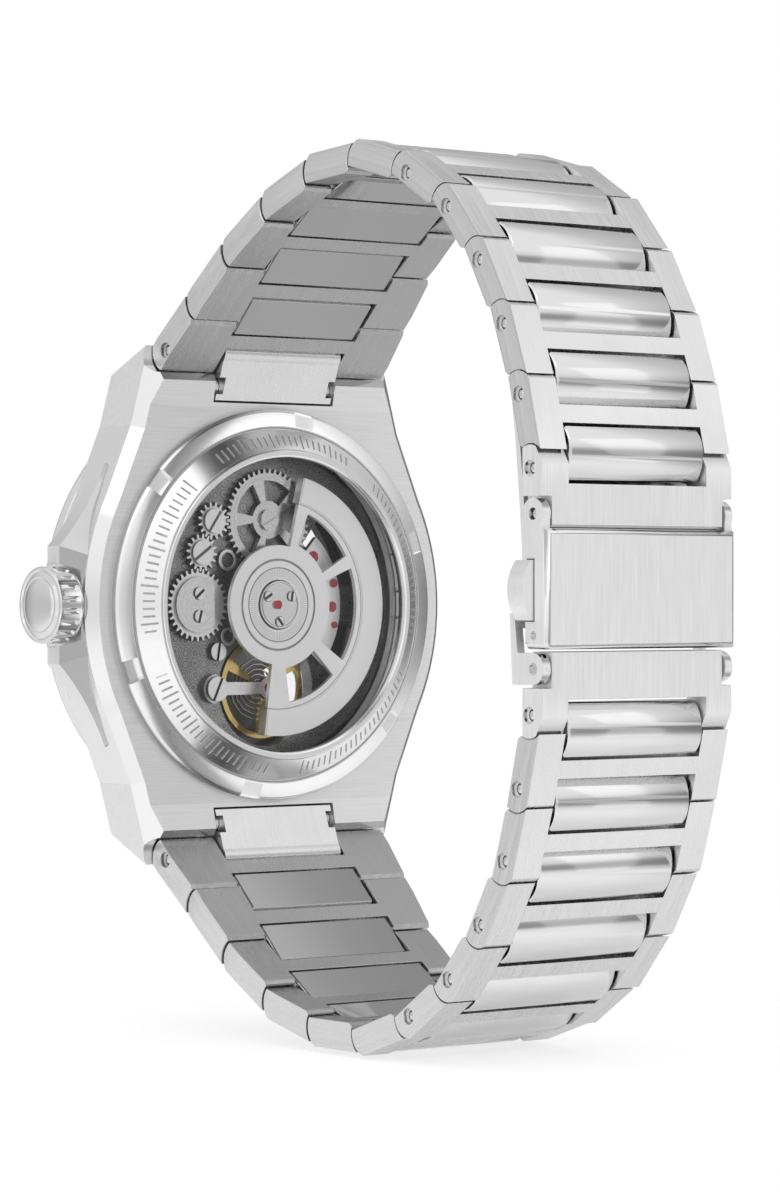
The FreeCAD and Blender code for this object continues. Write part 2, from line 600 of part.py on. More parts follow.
def make_tongues():
    """Centre pieces that fill the notches between the lugs and carry the first pivots, on spring bars."""
    tongues, bars = [], []
    pivot = (size("pivot_back"), size("pivot_rise"))
    reach = size("bar_end_radius")
    bar_y, bar_z = size("bar_back"), size("bar_rise")
    for name, side in (("upper", 1), ("lower", -1)):
        corners = [(-5.5, 18.7), (0.0, 18.7), polar(reach, -45, pivot), polar(reach, 45, pivot),
                   polar(reach, 135, pivot), (-5.5, 20.6)]
        if side < 0:
            corners = [flipped(corner) for corner in corners]
        outline = corners[:3] + [arc(*corners[3:5])] + corners[5:]
        blank = prism("tongue_blank_" + name, "side", [trace(outline)], "-tongue_half", "2 * tongue_half")
        hinge = (-10, pivot[0], pivot[1] * side)
        tools = [rod("tongue_bore_" + name, "x", (-10, bar_y, bar_z * side), "bar_radius + 0.06", "20"),
                 rod("tongue_pivot_" + name, "x", hinge, "pin_radius + pin_gap", "20")]
        for hand in (-1, 1):
            low, high = sorted((5.9 * hand, 7.5 * hand))
            bottom, top = sorted(((bar_z - 0.75) * side, (bar_z + 0.75) * side))
            tools.append(block("tongue_notch_%s_%d" % (name, hand + 1), (low, bar_y, bottom), (high, 3, top)))
        tongues.append(cut("tongue_" + name, blank, *tools))
        start = (-size("bar_half"), bar_y, bar_z * side)
        bars.append(rod("spring_bar_" + name, "x", start, "bar_radius", "2 * bar_half"))
    node(group("end_tongues", *tongues))
    node(group("spring_bars", *bars))


def link_profile():
    """Side view of a link frame about its own pivot: round nose, and a hollow about the next pivot."""
    pitch, low, high = size("pitch"), -size("arm_inner"), size("arm_outer")
    nose, hollow = size("end_radius"), size("end_radius") + size("end_gap")
    return trace([
        (-chord(nose, low), low), arc((-nose, 0), (-chord(nose, high), high)),
        (pitch - chord(hollow, high), high),
        arc((pitch - hollow, 0), (pitch - chord(hollow, low + 0.25), low + 0.25)),
        (pitch - chord(hollow, low + 0.25) - 0.35, low)])


def chord(radius, height):
    """Half the chord of a circle at a height above its centre."""
    return math.sqrt(radius ** 2 - height ** 2)


def bar_profile():
    """Side view of a centre bar: domed outside, rounded about the next pivot."""
    pitch, reach = size("pitch"), size("bar_end_radius")
    start, low, high = size("cross_end") + 0.15, -0.72, size("arm_outer")
    heel = (pitch + math.sqrt(reach ** 2 - low ** 2), low)
    return trace([
        (start, low), heel, arc((pitch + reach, 0), polar(reach, 48, (pitch, 0))),
        arc((pitch - 0.05, high - 0.25), (pitch - 1.3, high + 0.2)),
        arc((start + 1.2, high + 0.22), (start + 0.1, high - 0.15))])


def half_width(joint):
    return HALF_WIDTHS[min(joint, len(HALF_WIDTHS) - 1)]


def bar_half(link):
    return BAR_HALVES[min(link, len(BAR_HALVES) - 1)]


def frame_plan(number):
    """Plan view of a link frame: an H with a slot for the bar before it and one for its own bar."""
    near, far = half_width(number), half_width(number + 1)
    slot_in, slot_out = bar_half(number) + size("slot_gap"), bar_half(number + 1) + size("slot_gap")
    first, last, pitch = size("cross_start"), size("cross_end"), size("pitch")
    right = [(slot_in, -3), (near, -3), (near, 0), (far, pitch), (slot_out, pitch), (slot_out, last)]
    left = [(-x, y) for x, y in reversed(right)]
    return trace(right + left + [(-slot_in, first), (slot_in, first)])


def eye_sinks(label, reach, centre):
    """Wider mouths of a pin hole that runs through to both sides at X = -reach and X = reach."""
    starts = (("left", -reach - 1), ("right", reach - size("eye_sink")))
    return [rod("%s_sink_%s" % (label, name), "x", (start, *centre), "eye_bore", "eye_sink + 1")
            for name, start in starts]


def make_link(label, number, profiles, placement):
    """A frame, its centre bar and two pins, built about the pivot and then placed."""
    frame_side, bar_side = profiles
    plan = prism(label + "_plan", "top", [frame_plan(number)], "-arm_inner - 1", "arm_inner + arm_outer + 2")
    shape = common(label + "_shape", plan, frame_side)
    open_end = number in OPEN_PINS
    near = half_width(number)
    hidden = bar_half(number) + 1.6
    reach = near - size("pin_recess") if open_end else hidden
    hole = near + 1 if open_end else hidden + 0.05
    pitch, post = size("pitch"), size("cross_end") + 0.85
    sinks = eye_sinks(label, near, (0, 0)) if open_end else []
    width = bar_half(number + 1)
    frame = cut(label + "_frame", shape, *sinks,
                rod(label + "_pin_hole", "x", (-hole, 0, 0), "pin_radius + 0.01", str(2 * hole)),
                rod(label + "_post_hole", "x", (-width - 1.25, post, 0.15), "fixed_pin_radius + 0.01",
                    str(2 * width + 2.5)))
    blank = common(label + "_bar_blank", bar_side,
                   block(label + "_bar_limits", (-width, 0, -3), (width, pitch + 3, 4)))
    bar = cut(label + "_bar", blank,
              rod(label + "_next_hole", "x", (-20, pitch, 0), "pin_radius + pin_gap", "40"),
              rod(label + "_bar_hole", "x", (-20, post, 0.15), "fixed_pin_radius + 0.01", "40"))
    pin = rod(label + "_pin", "x", (-reach, 0, 0), "pin_radius", str(2 * reach))
    fixed = rod(label + "_post", "x", (-width - 1.2, post, 0.15), "fixed_pin_radius", str(2 * width + 2.4))
    link = group(label, frame, bar, pin, fixed)
    link.Placement = placement
    node(link)


def make_bracelet():
    """Eleven links in each half, laid along their directions from the case to the clasp."""
    profiles = (prism("link_side", "side", [link_profile()], "-15", "30"),
                prism("bar_side", "side", [bar_profile()], "-15", "30"))
    over = FreeCAD.Rotation(V(0, 1, 0), 180)
    pitch = size("pitch")
    for half, turns, side in (("upper", UPPER_TURNS, 1), ("lower", LOWER_TURNS, -1)):
        y, z = size("pivot_back"), size("pivot_rise") * side
        for number, degrees in enumerate(turns):
            turn = FreeCAD.Rotation(V(1, 0, 0), degrees)
            if side < 0:
                turn = turn.multiply(over)
            label = "link_%s_%02d" % (half, number + 1)
            make_link(label, number, profiles, FreeCAD.Placement(V(0, y, z), turn))
            y, z = polar(pitch, degrees, (y, z))
        make_end_piece(half, (y, z), side)


# ---------------------------------------------------------------- clasp


def make_end_piece(half, pivot, side):
    """Last piece of a half: hinged to link 11, narrowed where the clasp's ears stand beside it."""
    outer, inner = size("end_piece_outer"), size("end_piece_inner")
    nose = size("end_radius")
    wide, neck = size("clasp_half"), size("clasp_neck")
    tail = {"upper": size("cover_top") + 0.2, "lower": size("cover_bottom") - 0.2}[half]
    shoulder = {"upper": size("upper_ear_rise") + 1.45, "lower": size("lower_ear_rise") - 1.55}[half]
    step = outer - size("end_piece_step")
    top_outer = pivot[1] + side * (chord(nose, outer - pivot[0]) - size("end_piece_step"))
    top_step = pivot[1] + side * chord(nose, step - pivot[0])
    top_inner = pivot[1] + side * chord(nose, inner - pivot[0])
    crest = (pivot[0], pivot[1] + side * nose)
    points = [(outer, tail), (outer, top_outer), (step, top_step), arc(crest, (inner, top_inner)),
              (inner, tail)]
    if half == "upper":
        ear_back, ear_rise, heel = size("ear_pin_back"), size("upper_ear_rise"), size("heel_radius")
        points[0] = (outer, ear_rise - chord(heel, outer - ear_back))
        points[-1] = (inner, ear_rise - chord(heel, inner - ear_back))
        points.append(arc((ear_back, ear_rise - heel), points[0]))
    solid = prism("end_%s_solid" % half, "side", [trace(points)], "-clasp_half", "2 * clasp_half")
    slot = bar_half(11) + size("slot_gap")
    far = pivot[1] + side * 4
    near = pivot[1] - side * size("cross_start")
    tools = [slab("end_%s_slot" % half, (-slot, slot), (40, 60), (near, far)),
             rod("end_%s_pin_hole" % half, "x", (-20, *pivot), "pin_radius + 0.01", "40")]
    tools += eye_sinks("end_" + half, wide, pivot)
    for name, hand in (("left", -1), ("right", 1)):
        step_cut = slab("end_%s_step_%s" % (half, name), (neck * hand, 20 * hand), (40, 60),
                        (shoulder, tail - side * 2))
        tools.append(step_cut)
    if half == "upper":
        ear = (size("ear_pin_back"), size("upper_ear_rise"))
        tools.append(rod("end_upper_ear_hole", "x", (-20, *ear), "pin_radius + pin_gap", "40"))
    body = cut("end_%s_body" % half, solid, *tools)
    start = (size("pin_recess") - wide, *pivot)
    pin = rod("end_%s_pin" % half, "x", start, "pin_radius", "2 * (clasp_half - pin_recess)")
    node(group("clasp_end_" + half, body, pin))


def slab(name, xs, ys, zs):
    """A box between three pairs of limits, given in either order."""
    low, high = zip(*(sorted(pair) for pair in (xs, ys, zs)))
    return block(name, low, high)


def make_cover():
    """Cover with a raised rim, its ears and pin, and open sides for the push buttons."""
    wide, outer, inner = size("clasp_half"), size("clasp_outer"), size("cover_inner")
    top, bottom = size("cover_top"), size("cover_bottom")
    shell = slab("cover_block", (-wide, wide), (inner, outer), (bottom, top))
    hollow = slab("cover_hollow", (0.9 - wide, wide - 0.9), (inner - 1, outer - 1), (bottom + 0.8, top - 0.8))
    half_tall = size("button_tall") / 2 + 0.12
    middle = size("button_rise")
    door_top = button_front() + 0.12
    doors = slab("cover_doors", (-20, 20), (inner - 1, door_top), (middle - half_tall, middle + half_tall))
    ears = []
    ear_rise = size("upper_ear_rise")
    ear_in = size("ear_inner")
    eye_centre = (size("ear_pin_back"), ear_rise)
    for name, hand in (("left", -1), ("right", 1)):
        start = min(ear_in * hand, wide * hand)
        eye = circle(eye_centre, size("eye_radius"))
        ears.append(prism("upper_eye_" + name, "side", [eye], start, "clasp_half - ear_inner"))
        ears.append(slab("upper_ear_" + name, (ear_in * hand, wide * hand), (inner - 0.05, outer - 0.6),
                         (top - 1, ear_rise)))
    lip_start = size("end_piece_outer") + 0.1
    ears.append(slab("cover_lip", (-wide, wide), (lip_start, outer), (top - 0.5, top + 0.35)))
    body = cut("cover_bored", fuse("cover_body", cut("cover_shell", shell, hollow, doors), *ears),
               rod("upper_ear_hole", "x", (-20, size("ear_pin_back"), ear_rise), "pin_radius + 0.01", "40"))
    pin = rod("upper_ear_pin", "x", (0.2 - wide, *eye_centre), "pin_radius", "2 * (clasp_half - 0.2)")
    rivets, holes = [], []
    starts = ("left", 0.15 - wide, -wide - 0.35), ("right", wide - 0.65, wide - 0.65)
    for name, rivet_start, hole_start in starts:
        spot = (inner + 1.0, bottom + 1.1)
        rivets.append(rod("cover_rivet_" + name, "x", (rivet_start, *spot), "0.35", "0.5"))
        holes.append(rod("rivet_hole_" + name, "x", (hole_start, *spot), "0.36", "1"))
    node(group("clasp_cover", cut("cover_finished", body, *holes), pin, *rivets))


def button_front():
    return size("button_back") + size("button_thick") / 2


def make_buttons():
    """Two domed push buttons that slide inwards through the sides of the cover."""
    wide, back = size("clasp_half"), size("button_back")
    thick, tall, middle = size("button_thick"), size("button_tall"), size("button_rise")
    for name, hand in (("left", -1), ("right", 1)):
        base, edge, crest = (wide - 1.9) * hand, (wide + 0.3) * hand, (wide + size("button_reach")) * hand
        half = tall / 2
        low, high = middle - half, middle + half
        dome = trace([(base, low), (edge, low), arc((crest, middle), (edge, high)), (base, high)])
        node(prism("push_button_" + name, "front", [dome], back + thick / 2, str(thick)))


def make_blades():
    """Two curved blades that fold between the bracelet and the wrist, with their knuckle at the top."""
    depth = size("blade_depth")
    fold = (size("fold_back"), size("fold_rise"))
    half = size("blade_half")
    knuckle = 0.75
    outer_end = (size("cover_inner") - 0.45, -1.6)
    outer_bend = (47.25, 10.0)
    outside = [(fold[0] + 0.35, fold[1]), arc(outer_bend, outer_end), (outer_end[0] - depth, outer_end[1]),
               arc((outer_bend[0] - depth, outer_bend[1]), (fold[0] + 0.35 - depth, fold[1]))]
    plate = prism("outer_plate", "side", [trace(outside)], "-blade_half", "2 * blade_half")
    knuckle_mid = prism("outer_knuckle", "side", [circle(fold, knuckle)], "-3", "6")
    knuckle_span = (fold[1] - 1.2, fold[1] + 2)
    gap_left = slab("outer_gap_left", (-20, -3.2), (40, 60), knuckle_span)
    gap_right = slab("outer_gap_right", (3.2, 20), (40, 60), knuckle_span)
    foot = slab("blade_foot", (-6, 6), (outer_end[0] - 0.2, size("clasp_outer") - 1.05), (4.0, 5.0))
    body = fuse("outer_body", cut("outer_trimmed", plate, gap_left, gap_right), knuckle_mid, foot)
    clear = [slab("blade_relief_" + name, (7.2 * hand, 20 * hand), (40, 60), (-3, 4.3))
             for name, hand in (("left", -1), ("right", 1))]
    outer = cut("outer_bored", body, rod("fold_hole_outer", "x", (-20, *fold), "0.33", "40"), *clear)
    pin = rod("fold_pin", "x", (-half + 0.1, *fold), "0.3", "2 * (blade_half - 0.1)")
    node(group("blade_outer", outer, pin))
    ear = (size("ear_pin_back"), size("lower_ear_rise"))
    low = (fold[0] + 1.6, -1.8)
    heel = ear[1] - size("eye_radius")
    inside = [(fold[0] - 0.15, fold[1]), arc((fold[0] + 1.0, 8.5), low), (low[0] - depth, low[1]),
              arc((fold[0] + 1.0 - depth, 8.5), (fold[0] - 0.15 - depth, fold[1]))]
    strip = prism("inner_plate", "side", [trace(inside)], "-blade_half", "2 * blade_half")
    flank = trace([(low[0] - depth, -0.6), (low[0], -0.6), (low[0] + 0.4, -3.8), (ear[0], -3.8),
                   (ear[0], heel), (low[0] - depth + 0.3, heel)])
    ear_in = size("ear_inner")
    knuckles, ears = [], []
    for name, hand in (("left", -1), ("right", 1)):
        start = min(3.2 * hand, half * hand)
        length = str(half - 3.2)
        knuckles.append(prism("inner_knuckle_" + name, "side", [circle(fold, knuckle)], start, length))
        begin = min(ear_in * hand, size("clasp_half") * hand)
        for part, outline in (("arm", flank), ("eye", circle(ear, size("eye_radius")))):
            label = "lower_%s_%s" % (part, name)
            ears.append(prism(label, "side", [outline], begin, "clasp_half - ear_inner"))
        ears.append(slab("ear_root_" + name, ((half - 0.3) * hand, (ear_in + 0.2) * hand),
                         (low[0] - depth, low[0]), (low[1], -0.6)))
    middle_gap = slab("inner_gap", (-3.2, 3.2), (40, 60), knuckle_span)
    ear_hole = rod("lower_ear_hole", "x", (-20, *ear), "pin_radius + 0.01", "40")
    fused = fuse("inner_body", cut("inner_trimmed", strip, middle_gap), *knuckles, *ears)
    inner = cut("inner_bored", fused, rod("fold_hole_inner", "x", (-20, *fold), "0.33", "40"), ear_hole)
    plugs = [rod("lower_ear_plug_" + name, "x", (start, *ear), "pin_radius", "clasp_half - ear_inner - 0.2")
             for name, start in (("left", 0.2 - size("clasp_half")), ("right", ear_in))]
    node(group("blade_inner", inner, *plugs))


make_case()
make_bezel()
make_dial()
make_caseback()
make_crown()
make_plates()
make_winding_wheels()
make_fittings()
make_rotor()
make_going_train()
make_hands()
make_tongues()
make_bracelet()
make_cover()
make_buttons()
make_blades()
doc.recompute()

os.makedirs("parts", exist_ok=True)
for item in doc.Objects:
    if "Invalid" in item.State or "Error" in item.State:
        raise RuntimeError("%s failed: %s" % (item.Name, item.State))
for item in nodes:
    shape = item.Shape
    if shape.isNull() or not shape.isValid() or not shape.Solids:
        raise RuntimeError("bad shape: " + item.Label)
    shape.exportStep("parts/%s.step" % item.Label)
    print("%-20s %3d solids %10.2f mm3" % (item.Label, len(shape.Solids), shape.Volume))
print(len(nodes), "nodes")
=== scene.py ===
import math

import bmesh
import bpy
from mathutils import Matrix, Vector


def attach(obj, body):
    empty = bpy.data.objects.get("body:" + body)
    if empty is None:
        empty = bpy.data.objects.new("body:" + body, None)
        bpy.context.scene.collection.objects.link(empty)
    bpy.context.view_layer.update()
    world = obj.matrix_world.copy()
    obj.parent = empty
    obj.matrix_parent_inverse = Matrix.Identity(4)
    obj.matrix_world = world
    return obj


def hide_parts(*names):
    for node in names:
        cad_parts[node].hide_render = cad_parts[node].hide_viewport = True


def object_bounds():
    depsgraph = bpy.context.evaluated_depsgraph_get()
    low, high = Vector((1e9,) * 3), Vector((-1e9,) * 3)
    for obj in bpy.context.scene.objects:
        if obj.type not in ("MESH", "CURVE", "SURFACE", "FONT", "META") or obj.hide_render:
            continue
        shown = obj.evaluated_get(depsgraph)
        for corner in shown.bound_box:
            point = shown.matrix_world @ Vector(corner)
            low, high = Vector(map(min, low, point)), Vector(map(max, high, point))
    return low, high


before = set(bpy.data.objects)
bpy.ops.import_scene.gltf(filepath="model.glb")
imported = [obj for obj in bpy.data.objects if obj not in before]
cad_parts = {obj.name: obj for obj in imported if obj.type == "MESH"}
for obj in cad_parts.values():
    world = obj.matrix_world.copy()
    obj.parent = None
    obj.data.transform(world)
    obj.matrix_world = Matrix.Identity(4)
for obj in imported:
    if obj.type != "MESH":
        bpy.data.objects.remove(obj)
cad_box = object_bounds()

MM = 0.001

# Geometry that the looks share with the CAD model, in millimetres and degrees.
PITCH = 6.25
FIRST_PIVOT = (0.6, 23.0)
UPPER_TURNS = [45, 44, 35, 22, 4, -15, -31, -49, -60, -70, -76]
LOWER_TURNS = [-43, -44, -33, -15, 0, 19, 34, 50, 60, 73, 76]
CROWN_Y = -3.6
PIN_INSET = 0.04
WIDE_MOUTH = 0.66

# Noise scales across the lines of brushed steel, and along them.
ACROSS, ALONG, CASE_ALONG = 8000.0, 220.0, 160.0

# Points nearer than this, in metres, are one point, and faces within this angle are one flat face.
SAME_POINT = 2e-7
SAME_FACE = math.radians(0.6)

# The photograph's viewpoint in metres, and the direction that it looks in.
CAMERA_PLACE = (0.21985, 0.29555, 0.00099)
CAMERA_FORWARD = (-0.6201, -0.7845, -0.001)


# ---------------------------------------------------------------- shader building


class Shader:
    """A small builder for the nodes of one material or of the world."""

    def __init__(self, name, owner=None, output="ShaderNodeOutputMaterial"):
        self.material = owner or bpy.data.materials.new(name)
        self.material.use_nodes = True
        self.tree = self.material.node_tree
        self.tree.nodes.clear()
        self.out = self.add(output)

    def add(self, kind, **settings):
        node = self.tree.nodes.new(kind)
        for key, value in settings.items():
            setattr(node, key, value)
        return node

    def put(self, value, socket):
        """Links a socket, or sets a constant."""
        if isinstance(value, bpy.types.NodeSocket):
            self.tree.links.new(value, socket)
        else:
            socket.default_value = value

    def math(self, operation, first, second=0.0, third=0.0):
        node = self.add("ShaderNodeMath", operation=operation)
        for socket, value in zip(node.inputs, (first, second, third)):
            self.put(value, socket)
        return node.outputs[0]

    def coords(self, kind="Object"):
        return self.add("ShaderNodeTexCoord").outputs[kind]

    def facing(self, axis, start, end):
        """1 where the piece's own normal points along an axis, 0 elsewhere."""
        along = self.split(self.coords("Normal"))["XYZ".index(axis)]
        return self.spread(self.math("ABSOLUTE", along), 0.0, 1.0, start, end)

    def paint_inner_shade(self, colour, level):
        """Painted shade: darkens a colour on the faces that point inwards, against the piece's own Z, where
        the loop shades itself.
        """
        inward = self.spread(self.split(self.coords("Normal"))[2], 1.0, 0.0, -0.6, 0.0)
        return self.blend(inward, colour, grey(level))

    def split(self, vector):
        node = self.add("ShaderNodeSeparateXYZ")
        self.put(vector, node.inputs[0])
        return node.outputs

    def scaled(self, vector, scale):
        node = self.add("ShaderNodeVectorMath", operation="MULTIPLY")
        self.put(vector, node.inputs[0])
        node.inputs[1].default_value = scale
        return node.outputs[0]

    def noise(self, vector, scale, detail=2.0, rough=0.5):
        node = self.add("ShaderNodeTexNoise")
        self.put(vector, node.inputs["Vector"])
        node.inputs["Scale"].default_value = scale
        node.inputs["Detail"].default_value = detail
        node.inputs["Roughness"].default_value = rough
        return node.outputs["Fac"]

    def spread(self, value, low, high, start=0.3, end=0.7):
        """Maps start..end to low..high."""
        node = self.add("ShaderNodeMapRange")
        self.put(value, node.inputs["Value"])
        for name, number in (("From Min", start), ("From Max", end), ("To Min", low), ("To Max", high)):
            self.put(number, node.inputs[name])
        return node.outputs[0]

    def blend(self, factor, first, second):
        node = self.add("ShaderNodeMix", data_type="RGBA")
        self.put(factor, node.inputs[0])
        self.put(first, node.inputs[6])
        self.put(second, node.inputs[7])
        return node.outputs[2]

    def bump(self, height, strength, distance):
        node = self.add("ShaderNodeBump")
        node.inputs["Strength"].default_value = strength
        node.inputs["Distance"].default_value = distance
        self.put(height, node.inputs["Height"])
        return node.outputs[0]

    def mix(self, factor, first, second):
        """A plain mix of two values."""
        node = self.add("ShaderNodeMix", data_type="FLOAT")
        for socket, value in zip(node.inputs[0:1] + node.inputs[2:4], (factor, first, second)):
            self.put(value, socket)
        return node.outputs[0]

    def around(self, centre=(0.0, 0.0)):
        """Distance from an axis along Y through the centre, in millimetres, and the angle round it."""
        x, _, z = self.split(self.coords())
        across = self.math("SUBTRACT", self.math("MULTIPLY", x, 1000.0), centre[0])
        up = self.math("SUBTRACT", self.math("MULTIPLY", z, 1000.0), centre[1])
        square = self.math("ADD", self.math("MULTIPLY", across, across), self.math("MULTIPLY", up, up))
        return self.math("SQRT", square), self.math("ARCTAN2", up, across)

    def near(self, value, middle, half, soft):
        """1 within half of the middle, falling to 0 over the soft distance."""
        away = self.math("ABSOLUTE", self.math("SUBTRACT", value, middle))
        return self.spread(away, 1.0, 0.0, half, self.math("ADD", half, soft))

    def metal(self, colour, roughness, normal, **constants):
        node = self.add("ShaderNodeBsdfPrincipled")
        node.inputs["Metallic"].default_value = 1.0
        self.put(colour, node.inputs["Base Color"])
        self.put(roughness, node.inputs["Roughness"])
        self.put(normal, node.inputs["Normal"])
        for name, value in constants.items():
            self.put(value, node.inputs[name.replace("_", " ")])
        self.put(node.outputs[0], self.out.inputs["Surface"])


def grey(level, warmth=0.0):
    return (level * (1 + warmth), level, level * (1 - warmth), 1.0)


def steel(name, stretch, light, dark, inside=None):
    """Brushed steel: lines run along the axis with the small stretch. Fine and coarse lines, smudges. An
    inside level adds painted shade on the faces that point into the loop.
    """
    s = Shader(name)
    where = s.coords()
    fine = s.noise(s.scaled(where, stretch), 1.0, 3.0, 0.6)
    coarse = s.noise(s.scaled(where, tuple(c * 0.22 for c in stretch)), 1.0, 2.0, 0.5)
    lines = s.math("MULTIPLY_ADD", coarse, 0.45, s.math("MULTIPLY", fine, 0.55))
    smudge = s.noise(where, 160.0, 4.0, 0.55)
    tone = s.spread(lines, 0.0, 1.0, 0.38, 0.62)
    colour = s.blend(tone, grey(dark), grey(light))
    colour = s.blend(s.spread(smudge, 0.0, 0.10), colour, grey(light * 0.9, -0.01))
    # Painted shade on the inward faces, at the inside level.
    if inside:
        colour = s.paint_inner_shade(colour, inside)
    roughness = s.math("ADD", s.spread(lines, 0.22, 0.36, 0.4, 0.6), s.spread(smudge, -0.03, 0.05))
    s.metal(colour, roughness, s.bump(lines, 0.35, 0.00002), Anisotropic=0.45)
    return s.material


def trimmed_steel(name, axis, stretch, side_stretch, light, dark):
    """Steel brushed on the faces along one axis and on its flanks, with polished bevels between them that
    are painted a dark grey as a dark reflection.
    """
    s = Shader(name)
    where = s.coords()
    flat = s.facing(axis, 0.90, 0.97)
    flank = s.facing("X", 0.90, 0.97)
    face_lines = s.noise(s.scaled(where, stretch), 1.0, 3.0, 0.6)
    side_lines = s.noise(s.scaled(where, side_stretch), 1.0, 3.0, 0.6)
    lines = s.mix(flat, s.mix(flank, 0.5, side_lines), face_lines)
    brushed = s.math("MAXIMUM", flat, flank)
    smudge = s.noise(where, 140.0, 4.0, 0.55)
    colour = s.blend(s.spread(lines, 0.0, 1.0, 0.36, 0.64), grey(dark), grey(light))
    colour = s.blend(brushed, grey(0.88), colour)
    # Painted dark reflection: the bevels next to the faces along the axis take a dark grey colour.
    bevel = s.math("MULTIPLY", s.facing(axis, 0.72, 0.80), s.math("SUBTRACT", 1.0, flat))
    colour = s.blend(bevel, colour, grey(0.42))
    colour = s.blend(s.spread(smudge, 0.0, 0.10), colour, grey(light * 0.88))
    roughness = s.mix(brushed, 0.10, s.spread(lines, 0.48, 0.60, 0.4, 0.6))
    roughness = s.math("ADD", roughness, s.spread(smudge, -0.02, 0.03))
    s.metal(colour, roughness, s.bump(lines, 0.3, 0.00002))
    return s.material


def polished(name, level=0.86, rough=(0.05, 0.10), inside=None):
    """Mirror-polished steel with hairline scratches and faint smears. An inside level adds painted shade on
    the faces that point into the loop.
    """
    s = Shader(name)
    where = s.coords()
    hair = s.noise(s.scaled(where, (9000.0, 900.0, 5000.0)), 1.0, 2.0, 0.6)
    smear = s.noise(where, 220.0, 4.0, 0.6)
    colour = s.blend(s.spread(smear, 0.0, 0.12), grey(level), grey(level * 0.86))
    # Painted shade on the inward faces, at the inside level.
    if inside:
        colour = s.paint_inner_shade(colour, inside)
    roughness = s.math("ADD", s.spread(smear, rough[0], rough[1]), s.spread(hair, 0.0, 0.03))
    s.metal(colour, roughness, s.bump(hair, 0.06, 0.00001))
    return s.material


# The inside levels of the link frames and centre bars are painted shade on their inward faces.
LINKS = steel("brushed_link", (ACROSS, ALONG, ACROSS), light=0.84, dark=0.74, inside=0.46)
TONGUE = steel("brushed_tongue", (ACROSS, ALONG, ALONG), light=0.78, dark=0.66)
CASE = trimmed_steel("brushed_case", "Y", (CASE_ALONG, ACROSS, ACROSS), (ACROSS, ACROSS, CASE_ALONG),
                     0.94, 0.85)
CLASP = trimmed_steel("brushed_clasp", "Y", (ACROSS, ACROSS, ALONG), (ACROSS, ACROSS, ALONG), 0.97, 0.90)
POLISH = polished("polished_steel")
BAR = polished("polished_bar", level=0.80, rough=(0.07, 0.12), inside=0.42)
PIN = polished("pin_steel", level=0.78, rough=(0.10, 0.18))
# Near-black polished material that paints the shade inside the pin holes.
PAINTED_PIN_SHADE = polished("pin_shade", level=0.10, rough=(0.3, 0.4))


# ---------------------------------------------------------------- mesh work


def tidy_mesh(mesh):
    """Joins the triangles of flat faces, so that bevels run cleanly along the real edges."""
    bm = bmesh.new()
    bm.from_mesh(mesh)
    bmesh.ops.remove_doubles(bm, verts=bm.verts, dist=SAME_POINT)
    bmesh.ops.dissolve_limit(bm, angle_limit=SAME_FACE, verts=bm.verts, edges=bm.edges)
    bm.to_mesh(mesh)
    bm.free()


def soften(piece, width, segments):
    """Rounds the sharp edges of a piece and smooths its shading."""
    for polygon in piece.data.polygons:
        polygon.use_smooth = True
    bevel = piece.modifiers.new("edges", "BEVEL")
    bevel.width = width * MM
    bevel.segments = segments
    bevel.limit_method = "ANGLE"
    bevel.angle_limit = math.radians(32)
    bevel.harden_normals = True
    bevel.miter_outer = "MITER_ARC"


def soften_outline(piece, width, level):
    """Rounds only the long outer edges beyond a height in Y; the other sharp edges stay crisp."""
    bm = bmesh.new()
    bm.from_mesh(piece.data)
    weight = bm.edges.layers.float.new("bevel_weight_edge")
    for edge in bm.edges:
        sharp = edge.calc_face_angle(0) > 0.6
        area = min(face.calc_area() for face in edge.link_faces)
        large = area > 3 * MM * MM and edge.calc_length() > 2.5 * MM
        outer = edge.is_convex and max(vertex.co.y for vertex in edge.verts) > level
        edge[weight] = float(sharp and large and outer)
        edge.smooth = not sharp or edge[weight] > 0
    bm.to_mesh(piece.data)
    bm.free()
    soften(piece, width, 5)
    piece.modifiers["edges"].limit_method = "WEIGHT"


def dress(name, material, width):
    """Gives a CAD node its material, joins its flat faces and rounds its edges with modifiers."""
    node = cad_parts[name]
    node.data.materials.clear()
    node.data.materials.append(material)
    if width:
        join = node.modifiers.new("join", "DECIMATE")
        join.decimate_type = "DISSOLVE"
        join.angle_limit = SAME_FACE
        soften(node, width, 3)


def islands(mesh):
    """Closed shells of a mesh, each as a list of faces given by the places of their corners."""
    bm = bmesh.new()
    bm.from_mesh(mesh)
    bmesh.ops.remove_doubles(bm, verts=bm.verts, dist=SAME_POINT)
    seen, shells = set(), []
    for face in bm.faces:
        if face in seen:
            continue
        stack, shell = [face], []
        seen.add(face)
        while stack:
            here = stack.pop()
            shell.append(here)
            for edge in here.edges:
                for other in edge.link_faces:
                    if other not in seen:
                        seen.add(other)
                        stack.append(other)
        shells.append([[tuple(v.co) for v in f.verts] for f in shell])
    bm.free()
    return shells


def shell_mesh(name, faces, into):
    """A mesh of one shell, moved by the matrix into."""
    index, points, polygons = {}, [], []
    for face in faces:
        corner = []
        for point in face:
            if point not in index:
                index[point] = len(points)
                points.append(into @ Vector(point))
            corner.append(index[point])
        polygons.append(corner)
    mesh = bpy.data.meshes.new(name)
    mesh.from_pydata(points, [], polygons)
    mesh.validate()
    tidy_mesh(mesh)
    return mesh


def smooth(piece):
    """Smooth shading that keeps the sharper edges crisp."""
    for polygon in piece.data.polygons:
        polygon.use_smooth = True
    piece.data.set_sharp_from_angle(angle=math.radians(30))


